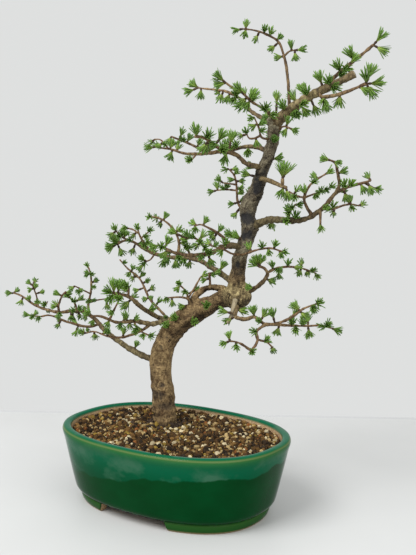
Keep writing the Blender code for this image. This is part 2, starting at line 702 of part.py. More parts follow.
def add_bark_lumps(body):
    """Push the vertices out or in by smooth noise, fading to nothing at the soil."""
    for vert in body.data.vertices:
        fade = min(max((vert.co.z / MM - POT_HEIGHT) / BARK_LUMP_SIZE, 0.0), 1.0)
        push = noise.noise(vert.co / (BARK_LUMP_SIZE * MM)) * BARK_LUMP * fade
        vert.co += vert.normal * push * MM


def limb_segments(points, radii):
    """Starts, ends and radii of the straight pieces of a limb."""
    radii = np.asarray(radii, float)
    return points[:-1, :3], points[1:, :3], np.maximum(radii[:-1], radii[1:])


def segment_gaps(one, other):
    """Gap between the surfaces of each round segment of one list and each of the other.

    A list is (starts, ends, radii). The closest points of the two infinite lines are found first,
    then each is held within its segment.
    """
    start, end, radius = one
    other_start, other_end, other_radius = other
    line = (end - start)[:, None]
    other_line = (other_end - other_start)[None]
    between = start[:, None] - other_start[None]
    a = np.maximum((line ** 2).sum(-1), TINY)
    b = (line * other_line).sum(-1)
    c = (line * between).sum(-1)
    e = np.maximum((other_line ** 2).sum(-1), TINY)
    f = (other_line * between).sum(-1)
    share = np.clip((b * f - c * e) / np.maximum(a * e - b * b, TINY), 0, 1)
    other_share = np.clip((b * share + f) / e, 0, 1)
    share = np.clip((b * other_share - c) / a, 0, 1)
    apart = between + share[..., None] * line - other_share[..., None] * other_line
    return np.linalg.norm(apart, axis=-1) - radius[:, None] - other_radius[None]


def joined(lists):
    """Several segment lists as one."""
    return tuple(np.concatenate(columns) for columns in zip(*lists))


def bare_wood():
    """The segment list of the trunk, its burls and its stubs."""
    lists = []
    for route in (LOWER_TRUNK, UPPER_TRUNK):
        samples = along(route, spaced(0, route_length(route), TRUNK_STEP))
        lists.append(limb_segments(samples, samples[:, 3] + BARK_LUMP / 2))
    for middle, half_sizes in BURLS:
        place = np.array([middle], float)
        lists.append((place, place + TINY, np.array([max(half_sizes)])))
    for start, end, route in STUBS.values():
        samples = along(route, spaced(0, route_length(route), TRUNK_STEP))
        lists.append(limb_segments(samples, np.linspace(start, end, len(samples))))
    return joined(lists)


def clear_start(route, radius, wood):
    """How far along a route a limb of the radius is first clear of the wood."""
    at = spaced(0, route_length(route), SEARCH_STEP)
    places = along(route, at)
    gaps = segment_gaps((places, places + TINY, np.full(len(places), radius)), wood).min(axis=1)
    blocked = np.nonzero(gaps < COLLAR_CLEARANCE)[0]
    return float(at[blocked[-1] + 1]) if len(blocked) else 0.0


def limb_points(twig, start=0.0, end=None, gap=0.0):
    """Points and radii of a twig from a cut, up to a cut, or whole.

    The piece next to a cut, PIECE long, follows the route's direction there, so that the two sides
    of the cut have parallel faces, the gap apart.
    """
    start_radius, end_radius, _, route, _ = twig
    length = route_length(route)
    if start > 0:
        at = np.append(start, spaced(start + PIECE, length, WOOD_STEP))
        cut, inner, side = 0, 1, 1.0
    elif end is not None:
        at = np.append(spaced(0.0, end - PIECE, WOOD_STEP), end)
        cut, inner, side = -1, -2, -1.0
    else:
        at = spaced(0.0, length, WOOD_STEP)
        cut = None
    points = along(route, at)
    if cut is not None:
        behind, ahead = along(route, at[cut] + np.array([-TANGENT_STEP, TANGENT_STEP]))
        tangent = (ahead - behind) / np.linalg.norm(ahead - behind)
        points[cut] += tangent * gap
        points[inner] = points[cut] + tangent * side * PIECE
    return points, start_radius + (end_radius - start_radius) * at / length


# Tufts of needles


def tuft_pattern(full):
    """Points, faces and levels of a tuft standing along Z, before it is sized.

    A spur is a slender cone that stands on its point, and a crown is raised from its top. The crown's
    side faces and the wedges of its top are poked, and each poked point becomes a needle's tip. Levels
    are 0 at the spur's root, 1 at its neck, 2 at its crown and TIP at the needles' tips, whose points
    are directions.
    """
    shape = bmesh.new()
    bmesh.ops.create_cone(shape, cap_ends=True, segments=TUFT_SIDES, radius1=0.0,
                          radius2=SPUR_RADIUS, depth=1.0)
    bmesh.ops.translate(shape, vec=(0, 0, 0.5), verts=shape.verts)
    top = max(shape.faces, key=lambda face: face.calc_center_median().z)
    raised = bmesh.ops.extrude_face_region(shape, geom=[top])["geom"]
    crown = [item for item in raised if isinstance(item, bmesh.types.BMFace)]
    bmesh.ops.translate(shape, vec=(0, 0, 1.0),
                        verts=[item for item in raised if isinstance(item, bmesh.types.BMVert)])
    bmesh.ops.delete(shape, geom=[top], context="FACES_ONLY")
    bmesh.ops.recalc_face_normals(shape, faces=shape.faces)
    walls = [face for face in shape.faces if 1.2 < face.calc_center_median().z < 1.8]
    outer = bmesh.ops.poke(shape, faces=walls)["verts"]
    poked = bmesh.ops.poke(shape, faces=crown)
    inner = bmesh.ops.poke(shape, faces=poked["faces"])["verts"] if full else poked["verts"]
    shape.verts.index_update()
    points = np.array([vert.co for vert in shape.verts])
    faces = [[vert.index for vert in face.verts] for face in shape.faces]
    levels = np.round(points[:, 2]).astype(int)
    inner_spread = INNER_SPREAD if full else 0.0
    for spread, turn, tips in ((OUTER_SPREAD, 0.0, outer), (inner_spread, INNER_TURN, inner)):
        for tip in tips:
            angle = math.atan2(tip.co.y, tip.co.x) + turn
            points[tip.index] = (math.sin(spread) * math.cos(angle),
                                 math.sin(spread) * math.sin(angle), math.cos(spread))
            levels[tip.index] = TIP
    shape.free()
    return points, faces, levels


def tuft_points(pattern, root, axis, spur, needle, roll):
    """A pattern's points for one tuft: sized, rolled about its axis, turned along it and moved."""
    points, _, levels = pattern
    sized = points.copy()
    sized[levels == 0, 2] = 0.0
    sized[levels == 1, 2] = spur
    sized[levels == 2, 2] = spur + NECK_HEIGHT
    sized[levels == TIP] = points[levels == TIP] * needle + (0, 0, spur)
    turned = Vector(axis).to_track_quat("Z", "Y").to_matrix() @ Matrix.Rotation(roll, 3, "Z")
    return sized @ np.array(turned).T + root


def tuft_segments(points, pattern):
    """The spur and the needles of a tuft as round segments."""
    levels = pattern[2]
    neck = points[levels == 1].mean(axis=0)
    foot = points[levels == 0].mean(axis=0)
    tips = points[levels == TIP]
    starts = np.vstack([np.tile(neck, (len(tips), 1)), foot[None]])
    ends = np.vstack([tips, neck[None]])
    radii = np.concatenate([np.full(len(tips), NEEDLE_RADIUS), [SPUR_RADIUS]])
    return starts, ends, radii


def place_tuft(pattern, limb, target, needle, number, others, own):
    """Points of the tuft whose middle is seen at the target, or None where others leave no room.

    It grows from the wood nearest to the target as seen from the front, or a little before it, and
    leans to the front or the back. Of these places the first is taken that keeps its needles clear
    of the others and of its own branch's tufts, or at least of the others.
    """
    points, radii = limb
    flat = points[:, [0, 2]]
    nearest = int(np.argmin(((flat - target) ** 2).sum(axis=1)))
    spare = None
    for back in ROOT_SHIFTS:
        root = min(max(nearest - back, 2), len(points) - 3)
        reach = np.array(target) - flat[root]
        for tried in range(len(LEANS)):
            offset = np.array([reach[0], LEANS[(number + tried) % len(LEANS)], reach[1]])
            distance = np.linalg.norm(offset)
            axis = offset / distance
            spur = max(distance - MIDDLE_OF_NEEDLES * needle, radii[root] + SPUR_SHOWN) + SPUR_SUNK
            placed = tuft_points(pattern, points[root] - axis * SPUR_SUNK, axis, spur, needle,
                                 ROLL * number)
            segments = tuft_segments(placed, pattern)
            if segment_gaps(segments, others).min() < NEEDLE_CLEARANCE:
                continue
            if own is None or segment_gaps(segments, own).min() > 0:
                return placed
            if spare is None:
                spare = placed
    return spare


def face_tuft(pattern, points, radii, target, number):
    """Points of a tuft on the wood's front face: rooted at the target, pointing out and a bit up.

    None where the target lies beside the wood.
    """
    flat = points[:, [0, 2]]
    nearest = int(np.argmin(((flat - target) ** 2).sum(axis=1)))
    radius = radii[nearest]
    reach = np.array(target) - flat[nearest]
    if reach @ reach > radius ** 2:
        return None
    out = np.array([reach[0], -math.sqrt(radius ** 2 - reach @ reach), reach[1]]) / radius
    axis = out + (0, 0, FACE_LIFT)
    sunk = BARK_LUMP + SPUR_SUNK
    return tuft_points(pattern, points[nearest] + out * (radius - sunk), axis / np.linalg.norm(axis),
                       BARK_LUMP + sunk + SPUR_SHOWN, TRUNK_NEEDLE, ROLL * number)


def tuft_object(name, points, pattern, collection):
    """A tuft as a closed mesh object."""
    mesh = bpy.data.meshes.new(name)
    mesh.from_pydata(tree_to_world(points).tolist(), [], pattern[1])
    return add_object(name, mesh, collection)


def sides_for(radii):
    """Bevel resolution of a limb: six sides where it is thick, four where it is thin."""
    return 1 if max(radii) > THICK_WOOD else 0


def branch_limbs(twigs, start):
    """Points and radii of every twig of a branch, each rooted on the nearest wood before it."""
    limbs = [limb_points(twigs[0], start, gap=COLLAR_GAP)]
    for twig in twigs[1:]:
        grown = np.vstack([finer(points)[BEYOND_SEAT:] for points, _ in limbs])
        points, radii = limb_points(twig)
        points[0] = grown[np.argmin(((grown - points[0]) ** 2).sum(axis=1))]
        limbs.append((points, radii))
    return limbs


def finer(values):
    """Points or radii with FINER steps put evenly in place of each one."""
    values = np.asarray(values, float)
    at = np.linspace(0, len(values) - 1, FINER * (len(values) - 1) + 1)
    low = np.minimum(at.astype(int), len(values) - 2)
    share = at - low
    if values.ndim == 2:
        share = share[:, None]
    return values[low] * (1 - share) + values[low + 1] * share


def place_tufts(twigs, limbs, patterns, others):
    """Points of every tuft of a branch that finds room."""
    placed = []
    number = 0
    for twig, (points, radii) in zip(twigs, limbs):
        pattern = patterns[twig[2] >= FULL_TUFT_NEEDLE]
        for target in twig[4]:
            number += 1
            own = joined([tuft_segments(*tuft) for tuft in placed]) if placed else None
            tuft = place_tuft(pattern, (finer(points), finer(radii)), target, twig[2], number, others,
                              own)
            if tuft is not None:
                placed.append((tuft, pattern))
    return placed


def trunk_tufts(collars, pattern, others):
    """Points of the tufts that grow from the trunk or its collars."""
    placed = []
    runs = [along(route, spaced(0, route_length(route), SEARCH_STEP))
            for route in (LOWER_TRUNK, UPPER_TRUNK)]
    limbs = [(run[:, :3], run[:, 3]) for run in runs] + [(finer(points), finer(radii))
                                                         for points, radii in collars]
    points = np.vstack([limb[0] for limb in limbs])
    radii = np.concatenate([limb[1] for limb in limbs])
    for number, target in enumerate(TRUNK_TUFTS):
        tuft = face_tuft(pattern, points, radii, target, number)
        if tuft is None:
            tuft = place_tuft(pattern, (points, radii), target, TRUNK_NEEDLE, number, others, None)
        if tuft is not None and segment_gaps(tuft_segments(tuft, pattern), others).min() > 0:
            placed.append((tuft, pattern))
    return placed


def filled_segments(limbs, tufts):
    """The segment list that a branch's wood and tufts fill."""
    lists = [limb_segments(points, radii) for points, radii in limbs]
    return joined(lists + [tuft_segments(*tuft) for tuft in tufts])


def make_branch(name, limbs, tufts, collars, parts):
    """One branch as one solid: its first twig, with the other twigs, collars and tufts fused to it."""
    points, radii = limbs[0]
    body = tube(name, points, radii, sides_for(radii), parts)
    extras = new_collection(name + "_pieces")
    for points, radii in limbs[1:]:
        tube(name + "_twig", points, radii, sides_for(radii), extras)
    for points, radii in collars:
        tube(name + "_collar", points, radii, sides_for(radii), extras)
    for tuft in tufts:
        tuft_object(name + "_tuft", *tuft, extras)
    fuse(body, extras)
    shade_round(body)
    body.data.materials.clear()
    body.data.materials.append(material(name + "_needles", (0.08, 0.24, 0.035), 0.6))


def make_trunk(collars, tufts, parts):
    """The trunk as one solid: two runs of wood that meet in the burl, with its stubs and collars."""
    runs = []
    for name, route, holder in (("trunk", LOWER_TRUNK, parts), ("upper_run", UPPER_TRUNK, parts)):
        samples = along(route, spaced(0, route_length(route), TRUNK_STEP))
        runs.append(tube(name, samples[:, :3], samples[:, 3], TRUNK_RESOLUTION, holder))
        add_bark_lumps(runs[-1])
    body, upper = runs
    extras = new_collection("trunk_pieces")
    parts.objects.unlink(upper)
    extras.objects.link(upper)
    for middle, half_sizes in BURLS:
        shape = bmesh.new()
        bmesh.ops.create_uvsphere(shape, u_segments=BURL_SEGMENTS, v_segments=BURL_RINGS, radius=1.0)
        for vert in shape.verts:
            vert.co = tree_to_world(np.array(middle) + np.array(vert.co) * half_sizes)
        add_bark_lumps(add_shape("burl", shape, extras))
    for name, (start, end, route) in STUBS.items():
        samples = along(route, spaced(0, route_length(route), TRUNK_STEP))
        tube(name, samples, np.linspace(start, end, len(samples)), STUB_RESOLUTION, extras)
    for points, radii in collars:
        tube("collar", points, radii, sides_for(radii), extras)
    for tuft in tufts:
        tuft_object("trunk_tuft", *tuft, extras)
    fuse(body, extras)
    shade_round(body)
    body.data.materials.clear()
    body.data.materials.append(material("bark", (0.17, 0.13, 0.1), 0.9))


def main():
    """Build every piece."""
    clear_scene()
    parts = new_collection("larch_bonsai")
    cutters = new_collection("cutters")
    make_pot(parts, cutters)
    make_screen("drain_screen_left", -1, parts, cutters)
    make_screen("drain_screen_right", 1, parts, cutters)
    make_soil(parts, cutters)

    patterns = {full: tuft_pattern(full) for full in (False, True)}
    trunk_wood = bare_wood()
    leader = BRANCHES["leader"]
    leader_start = clear_start(leader[0][3], leader[0][0], trunk_wood)
    all_wood = joined([trunk_wood, limb_segments(*limb_points(leader[0]))])
    starts = {name: leader_start if name == "leader" else clear_start(twigs[0][3], twigs[0][0], all_wood)
              for name, twigs in BRANCHES.items()}
    limbs = {name: branch_limbs(twigs, starts[name]) for name, twigs in BRANCHES.items()}
    collars = {name: limb_points(twigs[0], end=starts[name]) for name, twigs in BRANCHES.items()}
    filled = {name: filled_segments(limbs[name], []) for name in BRANCHES}
    tufts = {}
    for name, twigs in BRANCHES.items():
        others = joined([trunk_wood] + [limb_segments(*collar) for collar in collars.values()]
                        + [lists for other, lists in filled.items() if other != name])
        tufts[name] = place_tufts(twigs, limbs[name], patterns, others)
        filled[name] = filled_segments(limbs[name], tufts[name])
    held = [collars[name] for name in BRANCHES if name not in ON_LEADER]
    make_trunk(held, trunk_tufts(held, patterns[True], joined(list(filled.values()))), parts)
    for name in BRANCHES:
        held = [collars[other] for other in ON_LEADER] if name == "leader" else []
        make_branch(name, limbs[name], tufts[name], held, parts)


main()
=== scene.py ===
"""Looks of a larch bonsai in its oval glazed pot: bark, twigs, needles, granular soil and glaze.

Lengths are in millimetres in the tables and become metres when a mesh is made. Tree points are
(across, depth, up) as the tree is seen from its front, measured from the pot's middle.
"""
import math

import bpy
import numpy as np
from mathutils import Matrix, Vector


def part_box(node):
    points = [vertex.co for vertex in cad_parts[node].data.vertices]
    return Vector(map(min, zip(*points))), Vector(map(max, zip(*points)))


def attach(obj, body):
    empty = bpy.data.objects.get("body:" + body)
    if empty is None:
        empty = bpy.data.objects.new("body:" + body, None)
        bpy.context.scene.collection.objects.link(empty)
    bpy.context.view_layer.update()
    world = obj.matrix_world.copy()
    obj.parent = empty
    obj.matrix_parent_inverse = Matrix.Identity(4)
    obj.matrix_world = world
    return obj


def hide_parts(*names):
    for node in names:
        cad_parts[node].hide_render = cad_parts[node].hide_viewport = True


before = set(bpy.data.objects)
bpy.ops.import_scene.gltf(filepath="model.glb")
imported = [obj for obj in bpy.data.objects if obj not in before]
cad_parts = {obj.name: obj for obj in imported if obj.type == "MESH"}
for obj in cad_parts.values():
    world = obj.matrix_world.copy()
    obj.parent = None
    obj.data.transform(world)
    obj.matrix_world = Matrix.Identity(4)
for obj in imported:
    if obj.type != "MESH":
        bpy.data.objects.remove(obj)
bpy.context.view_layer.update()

MM = 0.001
TREE_TURN = math.radians(33.8)

# Pot
POT_HEIGHT = 70.0
OVAL_POWER = 2.38
FOOT_GAP_HALF = 36.0
FOOT_GAP_HEIGHT = 8.9
FOOT_GAP_SLOPE = 2.2
DRAIN_RADIUS = 7.0
DRAIN_OFFSET = 45.0
DRAIN_SIDES = 48
FLOOR_TOP = 14.0
DRILL_ENDS = (FLOOR_TOP - 9, FLOOR_TOP + 3)
PROFILE_STEP = 1.6
# The wall's section, from the floor's underside out and over the rim to the floor's top: (inset from
# the rim's edge, height, how bare of glaze, how thin the glaze breaks).
POT_PROFILE = [
    (26.5, 9.2, 1.0, 0.0), (25.8, 0.6, 1.0, 0.0), (25.2, 0.0, 1.0, 0.0), (19.4, 0.0, 1.0, 0.0),
    (18.7, 0.5, 0.7, 0.3), (17.6, 2.2, 0.0, 0.42), (16.8, 4.5, 0.0, 0.48), (16.5, 6.7, 0.0, 0.55),
    (16.6, 7.6, 0.0, 0.70), (17.0, 8.2, 0.0, 0.6), (17.7, 8.9, 0.0, 0.2), (16.6, 9.4, 0.0, 0.0),
    (15.0, 9.9, 0.0, 0.0), (13.4, 11.3, 0.0, 0.0), (12.0, 13.6, 0.0, 0.0), (11.1, 16.6, 0.0, 0.0),
    (8.9, 26.0, 0.0, 0.0), (5.6, 41.0, 0.0, 0.0), (2.4, 56.0, 0.0, 0.0), (1.2, 61.2, 0.0, 0.15),
    (0.45, 63.4, 0.0, 0.30), (0.0, 65.6, 0.0, 0.42), (0.1, 67.0, 0.0, 0.65), (0.35, 67.9, 0.0, 1.0),
    (0.8, 68.8, 0.0, 0.9), (1.3, 69.4, 0.0, 0.35), (2.1, 69.8, 0.0, 0.0), (3.2, 70.0, 0.0, 0.0),
    (5.6, 70.0, 0.0, 0.0), (6.7, 69.6, 0.0, 0.0), (7.4, 68.7, 0.0, 0.1), (7.7, 67.6, 0.3, 0.3),
    (7.8, 66.8, 1.0, 0.0), (8.4, 62.0, 1.0, 0.0), (18.0, 19.0, 1.0, 0.0), (22.0, 14.0, 1.0, 0.0),
]
# Above a line at this height, which leans and waves by so much, the glaze carries a painted
# reflection of a bright room. The wavy line is the painted reflection's lower edge, and below it the
# glaze keeps its own deep green.
REFLECTION_LINE_HEIGHT = 40.0
REFLECTION_LINE_WAVES = 18.0
REFLECTION_LINE_LEAN = 0.11
REFLECTION_LINE_SOFTNESS = 1.0
# The painted reflection grows paler from this height up to the rim.
REFLECTION_PALER_FROM = 30.0
# The colour of the painted misty smears of reflection on the upper glaze.
REFLECTION_SMEAR_COLOUR = (0.04, 0.115, 0.068)
SCREEN_COLOUR = (0.03, 0.03, 0.03)

# Soil: a low dome inside the wall, with its bare ground a little lower.
SOIL_EDGE_HEIGHT = 65.0
SOIL_DOME = 1.0
SOIL_EDGE_INSET = 9.0
SOIL_BOTTOM = FLOOR_TOP + 5.3
SOIL_BOTTOM_INSET = SOIL_EDGE_INSET + 9.5
TRUNK_HOLE_RADIUS = 12.3
GROUND_DEPTH = 1.2
GROUND_LUMPS = 0.6
GROUND_LUMP_SIZE = 4.0
GROUND_COLOUR = (0.03, 0.018, 0.008)

# (across, depth, up, radius): the lower trunk runs from the soil round the bend into the burl, and
# the upper trunk from the burl to the fork.
LOWER_TRUNK = [
    (-10.2, 31, 41, 11.2), (-10.1, 31, 58, 11.4), (-12, 31, 87, 10.8), (-13.4, 30.5, 102, 10.1),
    (-15.4, 30, 120, 10.3), (-14.2, 30, 132, 10.5), (-11.2, 29, 143, 10.6), (-4.8, 28, 154, 10.5),
    (2, 26, 162, 10.3), (11, 23, 169, 10.2), (20, 20, 176, 9.6), (29, 18, 180.5, 8.6),
    (37, 16, 185, 7.8), (45, 13, 188, 8.0), (54, 11, 190, 9.0),
]
UPPER_TRUNK = [
    (54, 10, 190, 9.0), (54, 9, 202, 7.8), (55, 8, 211, 7.0), (58, 6, 231, 6.7), (64, 5, 248, 6.9),
    (65, 5, 255, 7.6), (63, 7, 261, 7.0), (63.4, 7, 272, 7.2), (70.5, 3.8, 288, 6.6),
    (74.6, 0.8, 305, 5.6), (79, -1, 315, 5.2), (85, -6, 343, 5.8),
]
# One route through both runs, along which the bark's streaks are drawn out.
BARK_ROUTE = LOWER_TRUNK + [(60, 7, 225, 6.6)] + UPPER_TRUNK[4:]
# (across, depth, up) of a lump's middle, and its half-sizes in the same directions.
BURLS = [
    ((55.5, 10, 190.5), (13.2, 12.5, 12.3)),
    ((61, 9, 196), (8.0, 8.0, 7.0)),
    ((72, -1.6, 303), (4.8, 4.4, 3.4)),
]
# Bare wood on the trunk: (start radius, end radius, route). The dead stub is a piece of its own, and
# the others are part of the bark's one skin.
STUBS = {
    "loop_limb": (3.0, 2.8, [(12, 21, 182), (20, 22, 191.5), (28, 22, 196.5), (37, 19, 197), (51, 12, 195)]),
    "dead_stub": (2.4, 1.6, [(53, -2, 189), (51, -4.5, 180), (49.5, -6, 174), (46, -6, 168)]),
    "fork_knob": (3.8, 3.0, [(84, -6, 344), (78, -7, 348)]),
    "scar_knob": (2.4, 1.6, [(66, 4, 252), (72, 1, 252)]),
    "side_stub": (2.2, 1.5, [(76, 0, 312), (84, -2, 316)]),
}

